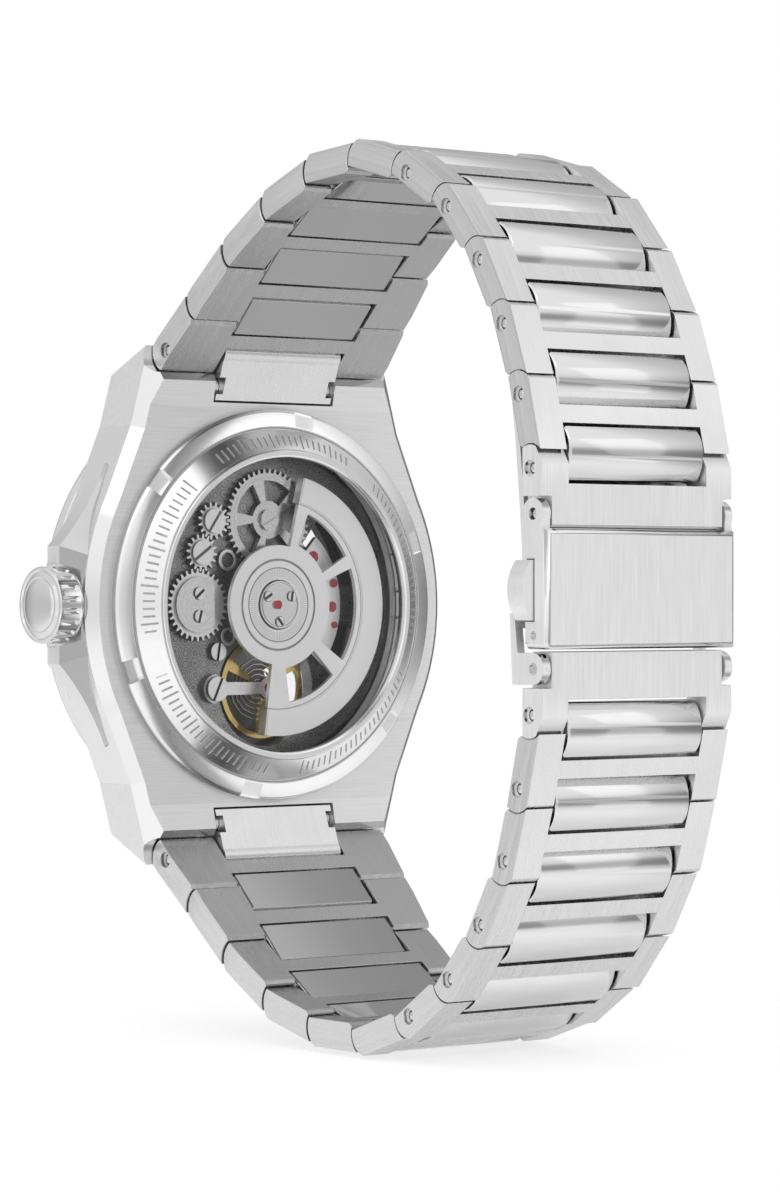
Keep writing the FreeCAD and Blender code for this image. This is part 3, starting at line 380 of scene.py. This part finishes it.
def place_mesh(name, bm, material, body, replaced):
    """Turns a bmesh in millimetres into a piece that rides a body and stands for a node."""
    bmesh.ops.remove_doubles(bm, verts=bm.verts, dist=1e-4)
    bmesh.ops.recalc_face_normals(bm, faces=bm.faces)
    bmesh.ops.scale(bm, vec=(MM, MM, MM), verts=bm.verts)
    mesh = bpy.data.meshes.new(name)
    bm.to_mesh(mesh)
    bm.free()
    mesh.materials.append(material)
    piece = bpy.data.objects.new(name, mesh)
    bpy.context.collection.objects.link(piece)
    smooth(piece)
    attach(piece, body)
    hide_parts(replaced)


def lathe(rows, at):
    """Closed surface through rows of (radius, height) points, one row for each angle in degrees."""
    bm = bmesh.new()
    rings = []
    for degrees, row in rows:
        across, up = math.cos(math.radians(degrees)), math.sin(math.radians(degrees))
        rings.append([bm.verts.new(at(radius * across, radius * up, height)) for radius, height in row])
    for here, there in zip(rings, rings[1:] + rings[:1]):
        for index in range(len(here)):
            after = (index + 1) % len(here)
            corners = [here[index], here[after], there[after], there[index]]
            bm.faces.new(corners)
    return bm


def about_y(x, z, height):
    return (x, height, z)


def curve(points, steps):
    """Rounds every corner listed with a radius: points are (a, b) or (a, b, radius)."""
    out = []
    for index, point in enumerate(points):
        if len(point) == 2:
            out.append(point)
            continue
        here = Vector(point[:2])
        before = (Vector(points[index - 1][:2]) - here).normalized()
        after = (Vector(points[(index + 1) % len(points)][:2]) - here).normalized()
        start, end = here + before * point[2], here + after * point[2]
        for step in range(steps + 1):
            t = step / steps
            spot = start * (1 - t) ** 2 + here * 2 * t * (1 - t) + end * t ** 2
            out.append((spot.x, spot.y))
    return out


def link_matrices():
    """Where each link's own frame stands: Y along the chain, Z out of the bracelet."""
    places = {}
    for half, turns, side in (("upper", UPPER_TURNS, 1), ("lower", LOWER_TURNS, -1)):
        y, z = FIRST_PIVOT[0], FIRST_PIVOT[1] * side
        for number, degrees in enumerate(turns):
            turn = Matrix.Rotation(math.radians(degrees), 4, "X")
            if side < 0:
                turn = turn @ Matrix.Rotation(math.pi, 4, "Y")
            places["link_%s_%02d" % (half, number + 1)] = Matrix.Translation((0, y * MM, z * MM)) @ turn
            y += PITCH * math.cos(math.radians(degrees))
            z += PITCH * math.sin(math.radians(degrees))
    return places


def arc_points(first, middle, last, steps):
    """Points along the circle through three points."""
    (ax, ay), (bx, by), (cx, cy) = first, middle, last
    d = 2 * (ax * (by - cy) + bx * (cy - ay) + cx * (ay - by))
    a2, b2, c2 = ax ** 2 + ay ** 2, bx ** 2 + by ** 2, cx ** 2 + cy ** 2
    ux = (a2 * (by - cy) + b2 * (cy - ay) + c2 * (ay - by)) / d
    uy = (a2 * (cx - bx) + b2 * (ax - cx) + c2 * (bx - ax)) / d
    start, end = math.atan2(ay - uy, ax - ux), math.atan2(cy - uy, cx - ux)
    through = math.atan2(by - uy, bx - ux)
    sweep = (end - start) % math.tau
    if (through - start) % math.tau > sweep:
        sweep -= math.tau
    radius = math.hypot(ax - ux, ay - uy)
    turns = [start + sweep * n / steps for n in range(steps + 1)]
    return [(ux + radius * math.cos(turn), uy + radius * math.sin(turn)) for turn in turns]


def bar_mesh(name, half):
    """A centre bar: domed outside, rounded about the next pivot, with softened ends."""
    start, low, high, reach = 2.95, -0.72, 1.65, 1.05
    heel = (PITCH + math.sqrt(reach ** 2 - low ** 2), low)
    crown = (PITCH + reach * math.cos(math.radians(48)), reach * math.sin(math.radians(48)))
    crest, brow = (PITCH - 1.3, high + 0.2), (start + 0.1, high - 0.15)
    outline = arc_points(heel, (PITCH + reach, 0), crown, 10)
    outline += arc_points(crown, (PITCH - 0.05, high - 0.25), crest, 10)[1:]
    outline += arc_points(crest, (start + 1.2, high + 0.22), brow, 14)[1:] + [(start, low)]
    middle = (sum(y for y, _ in outline) / len(outline), sum(z for _, z in outline) / len(outline))
    bm = bmesh.new()
    rows = []
    sections = ((-half, 0.22), (-half + 0.06, 0.10), (-half + 0.22, 0.0),
                (half - 0.22, 0.0), (half - 0.06, 0.10), (half, 0.22))
    for x, shrink in sections:
        row = []
        for y, z in outline:
            away = Vector((y - middle[0], z - middle[1]))
            spot = away * (1 - shrink / away.length)
            row.append(bm.verts.new((x * MM, (middle[0] + spot.x) * MM, (middle[1] + spot.y) * MM)))
        rows.append(row)
    for here, there in zip(rows, rows[1:]):
        for index in range(len(outline)):
            after = (index + 1) % len(outline)
            bm.faces.new((here[index], here[after], there[after], there[index]))
    bm.faces.new(rows[0][::-1])
    bm.faces.new(rows[-1])
    bmesh.ops.recalc_face_normals(bm, faces=bm.faces)
    mesh = bpy.data.meshes.new(name)
    bm.to_mesh(mesh)
    bm.free()
    return mesh


def pin_mesh(name, reach, mouth):
    """A pin along X: necked ends with a shoulder round each, as wide as the mouth of its hole; the shoulder
    and the middle are near-black, painted shade in the hole.
    """
    ends = [(0.0, -reach - 0.04), (0.2, -reach - 0.02), (0.34, -reach + 0.05), (0.38, -reach + 0.12),
            (0.38, -reach + 0.14), (mouth, -reach + 0.14), (mouth, -reach + 0.15), (0.45, -reach + 0.16)]
    profile = ends + [(radius, -x) for radius, x in ends[::-1]]
    bm = lathe([(15 * n, profile) for n in range(24)], lambda y, z, x: (x, y, z))
    bmesh.ops.remove_doubles(bm, verts=bm.verts, dist=1e-5)
    bmesh.ops.recalc_face_normals(bm, faces=bm.faces)
    for face in bm.faces:
        # Painted shade: every face deeper than the nose, the shoulder included, takes the near-black second
        # material.
        face.material_index = int(abs(face.calc_center_median().x) < reach - 0.125)
    bmesh.ops.scale(bm, vec=(MM, MM, MM), verts=bm.verts)
    mesh = bpy.data.meshes.new(name)
    bm.to_mesh(mesh)
    bm.free()
    mesh.materials.append(PIN)
    mesh.materials.append(PAINTED_PIN_SHADE)
    return mesh


def build_clasp():
    """The clasp's nodes again, body by body, so that pins and bodies keep their own looks."""
    for name, body, material, width in (
            ("clasp_cover", "cover", CLASP, 0.55), ("clasp_end_upper", "end_upper", CLASP, 0.2),
            ("clasp_end_lower", "end_lower", CLASP, 0.2), ("blade_outer", "cover", POLISH, 0.06),
            ("blade_inner", "blade_inner", CLASP, 0.15)):
        for number, shell in enumerate(islands(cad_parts[name].data)):
            points = [Vector(point) for face in shell for point in face]
            low = Vector([min(point[axis] for point in points) for axis in range(3)])
            high = Vector([max(point[axis] for point in points) for axis in range(3)])
            label = "%s_%d" % (name, number)
            thin = max((high - low).y, (high - low).z) < 1.2 * MM
            if thin and (high - low).x > 15 * MM:
                mesh = pin_mesh(label, high.x / MM - PIN_INSET, WIDE_MOUTH if "end" in name else 0.49)
                place = Matrix.Translation((0, (low.y + high.y) / 2, (low.z + high.z) / 2))
            else:
                mesh = shell_mesh(label, shell, Matrix())
                mesh.materials.append(PIN if thin else material)
                place = Matrix()
            piece = bpy.data.objects.new(label, mesh)
            bpy.context.collection.objects.link(piece)
            piece.matrix_world = place
            if thin:
                smooth(piece)
            elif name == "clasp_cover":
                soften_outline(piece, width, high.y - 0.01 * MM)
            else:
                soften(piece, width, 4)
            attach(piece, body)
            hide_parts(name)


# Links by number whose frame and bar use the meshes of another link of the same shape.
ALIKE = {6: 5, 8: 7, 9: 7, 10: 7, 11: 7}


def build_links():
    """Each link as four pieces, in the link's own frame: frame, centre bar, pin and the bar's post."""
    shared = {}
    for name, place in link_matrices().items():
        back = place.inverted()
        number = int(name[-2:])
        for shell in islands(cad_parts[name].data):
            points = [back @ Vector(p) for face in shell for p in face]
            depth = max(p.y for p in points) - min(p.y for p in points)
            start = min(p.y for p in points)
            half = max(p.x for p in points) / MM
            kind = "pin" if depth < 1.5 * MM else ("frame" if start < 0 else "bar")
            if kind == "pin" and start > 0:
                kind = "post"
            key = (kind, number if kind in ("pin", "post") else ALIKE.get(number, number))
            if key not in shared:
                label = "%s_%02d" % (kind, number)
                if kind == "bar":
                    shared[key] = bar_mesh(label, half)
                elif kind == "pin":
                    shared[key] = pin_mesh(label, half - PIN_INSET, WIDE_MOUTH if half > 10.1 else 0.5)
                else:
                    shared[key] = shell_mesh(label, shell, back)
                if kind != "pin":
                    shared[key].materials.append({"bar": BAR, "frame": LINKS}.get(kind, PIN))
            piece = bpy.data.objects.new("%s_%s" % (name, kind), shared[key])
            bpy.context.collection.objects.link(piece)
            piece.matrix_world = place
            if kind == "frame":
                soften(piece, 0.13, 3)
            else:
                smooth(piece)
            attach(piece, name)
            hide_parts(name)


build_links()
build_clasp()


# ---------------------------------------------------------------- materials of the CAD nodes


def ring_steel():
    """Polished caseback ring with a graduated band of radial strokes in five groups, and dark lines painted
    as shade in the groove, at the lip's step and on the outer wall.
    """
    s = Shader("caseback_ring")
    where = s.coords()
    radius, angle = s.around()
    turn = s.math("MULTIPLY", angle, 180 / math.pi / 2.6)
    stroke = s.near(s.math("FRACT", turn), 0.5, 0.10, 0.05)
    group = s.math("FRACT", s.math("MULTIPLY_ADD", angle, 2.5 / math.pi, 0.25))
    group = s.near(group, 0.5, 0.40, 0.01)
    tall = s.near(s.math("FRACT", s.math("MULTIPLY", turn, 0.2)), 0.5, 0.12, 0.02)
    band = s.near(radius, 15.15, s.math("MULTIPLY_ADD", tall, 0.22, 0.42), 0.05)
    marks = s.math("MULTIPLY", s.math("MULTIPLY", stroke, group), band)
    # Painted shade: dark lines in the groove at 16.3 mm, at the lip's step at 14.2 mm and on the outer wall
    # at 18 mm.
    line = s.math("MAXIMUM", s.near(radius, 16.30, 0.05, 0.06), s.near(radius, 14.22, 0.02, 0.05))
    line = s.math("MAXIMUM", line, s.near(radius, 18.05, 0.08, 0.05))
    worn = s.noise(s.scaled(where, (1500.0, 200.0, 1500.0)), 1.0, 3.0, 0.6)
    cloud = s.noise(where, 120.0, 3.0, 0.5)
    colour = s.blend(s.math("MULTIPLY", marks, s.spread(worn, 0.55, 0.75)), grey(0.96), grey(0.20))
    colour = s.blend(s.math("MULTIPLY", line, 0.75), colour, grey(0.25))
    colour = s.blend(s.spread(cloud, 0.0, 0.10), colour, grey(0.80))
    roughness = s.math("ADD", s.spread(worn, 0.19, 0.23), s.math("MULTIPLY", marks, 0.35))
    s.metal(colour, roughness, s.bump(s.math("SUBTRACT", 1.0, marks), 0.7, 0.00006))
    return s.material


def circular_steel(name, light=0.80, dark=0.72, rough=(0.18, 0.3), centre=(0.0, 0.0), rings=5.0):
    """Steel turned or brushed round an axis along Y through the centre, in millimetres, with painted shade:
    the faces that turn away from Y are dark.
    """
    s = Shader(name)
    radius, angle = s.around(centre)
    joined = s.add("ShaderNodeCombineXYZ")
    s.put(s.math("MULTIPLY", radius, rings), joined.inputs[0])
    s.put(s.math("MULTIPLY", angle, 1.2), joined.inputs[1])
    lines = s.noise(joined.outputs[0], 1.0, 4.0, 0.65)
    smudge = s.noise(s.coords(), 300.0, 3.0, 0.5)
    colour = s.blend(s.spread(lines, 0.0, 1.0, 0.35, 0.65), grey(dark), grey(light))
    # Painted shade: the side walls, facing away from Y, take a dark grey.
    colour = s.blend(s.facing("Y", 0.25, 0.65), grey(0.22), colour)
    roughness = s.math("ADD", s.spread(lines, rough[0], rough[1]), s.spread(smudge, -0.02, 0.04))
    s.metal(colour, roughness, s.bump(lines, 0.12, 0.00001))
    return s.material


def rotor_steel():
    """Satin rotor: radial ticks on its disc, and painted shade as dark rings at 3.4 and 4.15 mm for its
    turned cuts and a line where the weight begins.
    """
    s = Shader("rotor_steel")
    where = s.coords()
    radius, angle = s.around()
    grain = s.noise(s.scaled(where, (5000.0, 5000.0, 300.0)), 1.0, 3.0, 0.6)
    cloud = s.noise(where, 150.0, 3.0, 0.5)
    ticks = s.near(s.math("FRACT", s.math("MULTIPLY", angle, 96 / math.tau)), 0.5, 0.12, 0.08)
    ticks = s.math("MULTIPLY", ticks, s.near(radius, 2.9, 0.36, 0.05))
    # Painted shade: dark rings where the disc is turned and where the weight begins.
    groove_shade = s.math("MAXIMUM", s.near(radius, 4.15, 0.08, 0.05), s.near(radius, 3.4, 0.03, 0.05))
    groove_shade = s.math("MAXIMUM", groove_shade, s.near(radius, 9.62, 0.02, 0.05))
    # The dark mask joins the ticks, a pattern, with the painted shade of the rings.
    dark = s.math("MAXIMUM", s.math("MULTIPLY", ticks, 0.45), s.math("MULTIPLY", groove_shade, 0.7))
    colour = s.blend(s.spread(grain, 0.0, 1.0), grey(0.95), grey(0.99))
    colour = s.blend(s.spread(cloud, 0.0, 0.12), colour, grey(0.74))
    colour = s.blend(dark, colour, grey(0.20))
    s.metal(colour, s.spread(grain, 0.50, 0.60), s.bump(s.math("SUBTRACT", grain, dark), 0.15, 0.00002))
    return s.material


def hub_steel():
    """Turned rotor hub with painted shade as a dark line round each of its three screws and one 2.02 mm from
    the axis, and a painted sheen that sweeps twice round it.
    """
    s = Shader("hub_steel")
    where = s.coords()
    radius, angle = s.around()
    grain = s.noise(s.scaled(where, (3000.0, 3000.0, 3000.0)), 1.0, 3.0, 0.6)
    # Painted shade: dark lines round the centre and round each screw, where the gaps would be shaded.
    dark = s.near(radius, 2.02, 0.02, 0.05)
    for number in range(3):
        turn = math.radians(30 + 120 * number)
        away = s.around((1.55 * math.cos(turn), 1.55 * math.sin(turn)))[0]
        dark = s.math("MAXIMUM", dark, s.near(away, 0.50, 0.02, 0.05))
    # Painted sheen: the tone rises and falls twice round the hub, as a turned surface catches the light.
    sweep = s.math("MULTIPLY_ADD", s.math("SINE", s.math("MULTIPLY", angle, 2.0)), 0.05, 0.83)
    colour = s.blend(s.spread(grain, 0.0, 0.3), s.blend(sweep, grey(0.70), grey(0.92)), grey(0.80))
    colour = s.blend(s.math("MULTIPLY", dark, 0.75), colour, grey(0.12))
    s.metal(colour, s.spread(grain, 0.18, 0.28), s.bump(s.math("SUBTRACT", 1.0, dark), 0.4, 0.00003))
    return s.material


def screw_steel():
    """Flat-polished screw heads, with painted shade: near-black in their slots and down their sides, below
    the top of each screw.
    """
    s = Shader("screw_steel")
    height = s.split(s.coords("Generated"))[1]
    grain = s.noise(s.scaled(s.coords(), (6000.0, 6000.0, 900.0)), 1.0, 3.0, 0.6)
    # Painted shade: only the top of each screw keeps the bright colour; slot and sides go near-black.
    top = s.spread(height, 0.0, 1.0, 0.86, 0.94)
    colour = s.blend(s.spread(grain, 0.0, 1.0), grey(0.86), grey(0.97))
    s.metal(s.blend(top, grey(0.08), colour), s.spread(grain, 0.30, 0.42), s.bump(grain, 0.1, 0.00001))
    return s.material


def build_screws():
    """The screws of the movement one by one, so that each has a bright head and a slot with painted shade of
    its own.
    """
    material = screw_steel()
    for number, shell in enumerate(islands(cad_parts["movement_screws"].data)):
        label = "movement_screw_%d" % number
        mesh = shell_mesh(label, shell, Matrix())
        mesh.materials.append(material)
        piece = bpy.data.objects.new(label, mesh)
        bpy.context.collection.objects.link(piece)
        soften(piece, 0.04, 3)
        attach(piece, "case")
        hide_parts("movement_screws")


def dark_plate(name, low=0.18, high=0.42, pearls=900.0):
    """Dark plated metal finished with rows of small overlapping rings."""
    s = Shader(name)
    where = s.coords()
    cell = s.add("ShaderNodeTexVoronoi", feature="F1")
    s.put(where, cell.inputs["Vector"])
    cell.inputs["Scale"].default_value = pearls
    cell.inputs["Randomness"].default_value = 0.25
    rings = s.math("SINE", s.math("MULTIPLY", cell.outputs["Distance"], 40.0))
    grain = s.noise(where, 6000.0, 3.0, 0.6)
    cloud = s.noise(where, 300.0, 3.0, 0.5)
    tone = s.math("MULTIPLY_ADD", rings, 0.35, s.spread(cloud, 0.25, 0.75))
    colour = s.blend(tone, grey(low), grey(high))
    s.metal(colour, s.spread(grain, 0.25, 0.4), s.bump(s.math("ADD", rings, grain), 0.25, 0.00001))
    return s.material


def gilt(name):
    """Gilt brass with a fine grain."""
    s = Shader(name)
    where = s.coords()
    grain = s.noise(where, 5000.0, 3.0, 0.6)
    colour = s.blend(s.spread(grain, 0.0, 1.0), (0.80, 0.56, 0.16, 1), (0.95, 0.75, 0.32, 1))
    s.metal(colour, s.spread(grain, 0.14, 0.26), s.bump(grain, 0.1, 0.00001))
    return s.material


def ruby(name):
    """Clouded red stone under a clear coat."""
    s = Shader(name)
    where = s.coords()
    cloud = s.noise(where, 3000.0, 3.0, 0.6)
    shader = s.add("ShaderNodeBsdfPrincipled")
    colour = s.blend(s.spread(cloud, 0.0, 1.0), (0.30, 0.002, 0.012, 1), (0.62, 0.015, 0.05, 1))
    s.put(colour, shader.inputs["Base Color"])
    s.put(s.spread(cloud, 0.05, 0.12), shader.inputs["Roughness"])
    shader.inputs["Coat Weight"].default_value = 1.0
    s.put(shader.outputs[0], s.out.inputs["Surface"])
    return s.material


def clear_glass(name):
    """Thin coated glass: see-through, with reflections that grow towards its edges."""
    s = Shader(name)
    where = s.coords()
    smear = s.noise(where, 90.0, 3.0, 0.5)
    gloss = s.add("ShaderNodeBsdfPrincipled")
    gloss.inputs["Base Color"].default_value = (0.9, 0.9, 0.9, 1)
    gloss.inputs["Metallic"].default_value = 1.0
    s.put(s.spread(smear, 0.0, 0.03), gloss.inputs["Roughness"])
    through = s.add("ShaderNodeBsdfTransparent")
    through.inputs["Color"].default_value = (0.99, 0.99, 0.99, 1)
    tilt = s.add("ShaderNodeLayerWeight")
    tilt.inputs["Blend"].default_value = 0.5
    edge = s.math("POWER", tilt.outputs["Facing"], 3.0)
    mix = s.add("ShaderNodeMixShader")
    s.put(s.math("MULTIPLY_ADD", edge, 0.6, 0.02), mix.inputs[0])
    s.put(through.outputs[0], mix.inputs[1])
    s.put(gloss.outputs[0], mix.inputs[2])
    s.put(mix.outputs[0], s.out.inputs["Surface"])
    return s.material


GEARS = circular_steel("gear_steel", 0.97, 0.86, (0.44, 0.54), rings=3.0)
PLATE = dark_plate("dark_bridge")
GILT = gilt("gilt_brass")
RUBY = ruby("ruby")
RING = ring_steel()

for name, material, width in (
        ("case_middle", CASE, 0.16), ("crown_tube", POLISH, 0.0), ("end_tongues", TONGUE, 0.14),
        ("spring_bars", POLISH, 0.0), ("rotor", rotor_steel(), 0.05), ("rotor_hub", hub_steel(), 0.05),
        ("mainplate", PLATE, 0.0), ("train_bridge", PLATE, 0.04), ("upper_bridges", GEARS, 0.05),
        ("crown_wheel_cover",
         circular_steel("cover_steel", 0.88, 0.80, (0.18, 0.28), centre=(8.0, 0.0)), 0.04),
        ("jewels", RUBY, 0.06), ("sliding_pinion", GEARS, 0.0), ("crown_wheel", GEARS, 0.0),
        ("idler_wheel_lower", GEARS, 0.0), ("idler_wheel_upper", GEARS, 0.0),
        ("ratchet_wheel", circular_steel("ratchet_steel", centre=(-0.01, 8.05)), 0.0),
        ("mainspring_barrel", dark_plate("barrel_steel", 0.25, 0.45), 0.0), ("escape_wheel", GEARS, 0.0),
        ("balance_wheel", GILT, 0.03), ("hairspring", GEARS, 0.0),
        ("chapter_ring", dark_plate("chapter_black", 0.02, 0.05, pearls=400.0), 0.04),
        ("hour_markers", POLISH, 0.03), ("hour_hand", POLISH, 0.02), ("minute_hand", POLISH, 0.02),
        ("seconds_hand", POLISH, 0.0),
        ("push_button_left", CLASP, 0.45), ("push_button_right", CLASP, 0.45),
        ("caseback_glass", clear_glass("caseback_crystal"), 0.0),
        ("front_crystal", clear_glass("front_glass"), 0.0)):
    dress(name, material, width)
build_screws()


# ---------------------------------------------------------------- turned pieces made again with clean curves


def build_ring():
    """Caseback ring with its lip, engraved step, groove and six square tool slots."""
    top = 2.6
    lip = [(13.55, 1.95), (13.55, top - 0.25), (13.6, top - 0.12), (13.75, top), (14.1, top),
           (14.18, top - 0.05)]
    band = [(14.3, 2.3), (16.05, 1.15), (16.15, 1.06), (16.2, 0.88), (16.4, 0.88), (16.46, 1.0),
            (16.55, 0.975)]
    inside = [(18.0, 0.0), (16.8, 0.0), (16.8, -1.5), (15.7, -1.5), (15.7, 0.0), (14.5, 0.6),
              (14.05, 1.0), (14.05, 1.95)]
    plain = lip + band + [(16.56, 0.973), (17.7, 0.71), (17.86, 0.62), (18.0, 0.42)] + inside
    slotted = lip + band + [(16.56, 0.5), (17.7, 0.45), (17.86, 0.44), (18.0, 0.40)] + inside
    half = math.degrees(1.05 / 17.2)
    rows = []
    for number in range(6):
        middle = 40 + 60 * number
        rows += [(middle - half, plain)] + [(middle - half + half * n / 3, slotted) for n in range(7)]
        rows += [(middle + half, plain)]
        rows += [(middle + half + (60 - 2 * half) * n / 24, plain) for n in range(1, 24)]
    place_mesh("ring_turned", lathe(rows, about_y), RING, "case", "caseback_ring")


def build_bezel():
    """Front bezel: a polished disc with rounded rims and a sloping front."""
    profile = curve([(14.3, -6.5), (20.2, -6.5, 0.12), (20.3, -7.6, 0.25), (19.5, -8.3, 0.3),
                     (16.95, -9.5, 0.25), (16.25, -9.5, 0.1), (16.25, -8.5), (14.3, -8.5)], 5)
    rows = [(2.5 * n, profile) for n in range(144)]
    place_mesh("bezel_turned", lathe(rows, about_y), POLISH, "case", "front_bezel")


def about_crown(y, z, x):
    return (x, y + CROWN_Y, z)


def build_crown():
    """Crown with rounded flutes, a domed end cap with a turned ring, and its stem."""
    radius, flutes, steps = 3.45, 20, 12
    rows = []
    for index in range(flutes * steps):
        phase = (index % steps) / steps
        dip = 0.30 * max(0.0, 1 - abs(phase - 0.5) / 0.24) ** 0.7
        grip = [(radius - 0.30, 20.75), (radius - 0.08, 20.83), (radius, 21.05), (radius, 21.2),
                (radius - dip, 21.45), (radius - dip, 22.85), (radius, 23.08), (radius - 0.02, 23.2)]
        cap = [(radius - 0.12, 23.3), (radius - 0.3, 23.34), (3.0, 23.22), (2.92, 23.24), (2.75, 23.36),
               (2.5, 23.42), (2.38, 23.38), (2.26, 23.45), (1.8, 23.56), (1.2, 23.66), (0.6, 23.73),
               (0.0, 23.75)]
        inside = [(0.0, 23.05), (0.57, 23.05), (0.57, 22.25), (1.75, 22.25), (1.75, 20.75)]
        rows.append((360 * index / (flutes * steps), grip + cap + inside))
    place_mesh("crown_turned", lathe(rows, about_crown), POLISH, "crown", "crown_and_stem")
    shank = [(0.0, 12.3), (0.5, 12.3), (0.55, 12.4), (0.55, 23.0), (0.0, 23.0)]
    rows = [(15 * n, shank) for n in range(24)]
    place_mesh("stem_shank", lathe(rows, about_crown), POLISH, "crown", "crown_and_stem")
    square = [(0.0, 8.6), (0.46, 8.6), (0.509, 8.7), (0.509, 12.4), (0.0, 12.4)]
    rows = [(45 + 90 * n, square) for n in range(4)]
    place_mesh("stem_square", lathe(rows, about_crown), POLISH, "crown", "crown_and_stem")


build_ring()
build_bezel()
build_crown()


# ---------------------------------------------------------------- stage, light and camera


def stage_floor():
    """A pale floor that fades out round the watch."""
    bpy.ops.mesh.primitive_plane_add(size=0.7, location=(0, 0, cad_box[0].z - 0.0003))
    floor = bpy.context.object
    floor.name = "floor"
    s = Shader("pale_floor")
    where = s.coords()
    x, y, _ = s.split(where)
    reach = s.math("SQRT", s.math("ADD", s.math("MULTIPLY", x, x), s.math("MULTIPLY", y, y)))
    cloud = s.noise(where, 8.0, 3.0, 0.5)
    diffuse = s.add("ShaderNodeBsdfDiffuse")
    s.put(s.blend(s.spread(cloud, 0.0, 1.0), grey(0.90), grey(0.94)), diffuse.inputs["Color"])
    glow = s.add("ShaderNodeEmission")
    glow.inputs["Color"].default_value = (1, 1, 1, 1)
    glow.inputs["Strength"].default_value = 0.35
    both = s.add("ShaderNodeAddShader")
    s.put(diffuse.outputs[0], both.inputs[0])
    s.put(glow.outputs[0], both.inputs[1])
    faded = s.add("ShaderNodeMixShader")
    s.put(s.spread(reach, 0.55, 0.0, 0.05, 0.22), faded.inputs[0])
    s.put(s.add("ShaderNodeBsdfTransparent").outputs[0], faded.inputs[1])
    s.put(both.outputs[0], faded.inputs[2])
    s.put(faded.outputs[0], s.out.inputs["Surface"])
    floor.data.materials.append(s.material)


def ramp(s, value, stops):
    """A colour ramp of grey levels at the given positions."""
    node = s.add("ShaderNodeValToRGB")
    node.color_ramp.elements[0].position, level = stops[0]
    node.color_ramp.elements[0].color = grey(level)
    node.color_ramp.elements[1].position, level = stops[-1]
    node.color_ramp.elements[1].color = grey(level)
    for position, level in stops[1:-1]:
        node.color_ramp.elements.new(position).color = grey(level)
    s.put(value, node.inputs[0])
    return node.outputs[0]


def world_light():
    """A light tent, bright round the camera and dimmer behind the watch, with a grey band at the horizon."""
    s = Shader("tent", bpy.data.worlds.new("tent"), "ShaderNodeOutputWorld")
    bpy.context.scene.world = s.material
    x, y, z = s.split(s.coords("Generated"))
    behind = s.math("ADD", s.math("MULTIPLY", x, -0.78), s.math("MULTIPLY", y, -0.63))
    back = ramp(s, behind, ((0.2, 1.0), (0.5, 0.70), (0.95, 0.48)))
    band = ramp(s, s.math("ABSOLUTE", z), ((0.0, 0.34), (0.08, 0.40), (0.20, 0.85), (0.36, 1.0)))
    horizon = s.blend(s.spread(x, 1.0, 0.25, -0.25, 0.25), grey(1.0), band)
    under = s.spread(z, 0.58, 1.0, -0.85, -0.45)
    dial_side = s.math("ADD", s.math("MULTIPLY", x, 0.62), s.math("MULTIPLY", y, -0.785))
    under = s.math("MULTIPLY", under, s.spread(dial_side, 1.0, 0.74, 0.35, 0.9))
    light = s.add("ShaderNodeVectorMath", operation="MULTIPLY")
    s.put(back, light.inputs[0])
    s.put(horizon, light.inputs[1])
    tent = s.add("ShaderNodeBackground")
    s.put(light.outputs[0], tent.inputs["Color"])
    s.put(s.math("MULTIPLY", under, 0.95), tent.inputs["Strength"])
    white = s.add("ShaderNodeBackground")
    white.inputs["Color"].default_value = (1, 1, 1, 1)
    path = s.add("ShaderNodeLightPath")
    both = s.add("ShaderNodeMixShader")
    s.put(path.outputs["Is Camera Ray"], both.inputs[0])
    s.put(tent.outputs[0], both.inputs[1])
    s.put(white.outputs[0], both.inputs[2])
    s.put(both.outputs[0], s.out.inputs["Surface"])


def softbox(name, place, target, size, power):
    """A rectangular light at a place, turned towards its target."""
    light = bpy.data.lights.new(name, "AREA")
    light.shape = "RECTANGLE"
    light.size, light.size_y = size
    light.energy = power
    item = bpy.data.objects.new(name, light)
    bpy.context.collection.objects.link(item)
    item.location = place
    item.rotation_euler = (Vector(target) - Vector(place)).to_track_quat("-Z", "Y").to_euler()


def set_camera():
    """The camera at the photograph's viewpoint."""
    camera = bpy.data.cameras.new("camera")
    camera.lens = 120.0
    camera.sensor_fit = "VERTICAL"
    camera.sensor_height = 36.0
    camera.clip_start = 0.01
    camera.clip_end = 50.0
    item = bpy.data.objects.new("camera", camera)
    bpy.context.collection.objects.link(item)
    item.location = CAMERA_PLACE
    item.rotation_euler = Vector(CAMERA_FORWARD).to_track_quat("-Z", "Y").to_euler()
    bpy.context.scene.camera = item


stage_floor()
world_light()
softbox("key", (0.25, 0.35, 0.45), (0, 0.02, 0), (0.5, 0.3), 0.16)
softbox("left", (0.55, -0.05, 0.1), (0, 0.02, 0), (0.3, 0.5), 0.10)
softbox("right", (-0.35, 0.45, 0.1), (0, 0.02, 0), (0.25, 0.5), 0.08)
set_camera()
bpy.context.scene.view_settings.view_transform = "Standard"
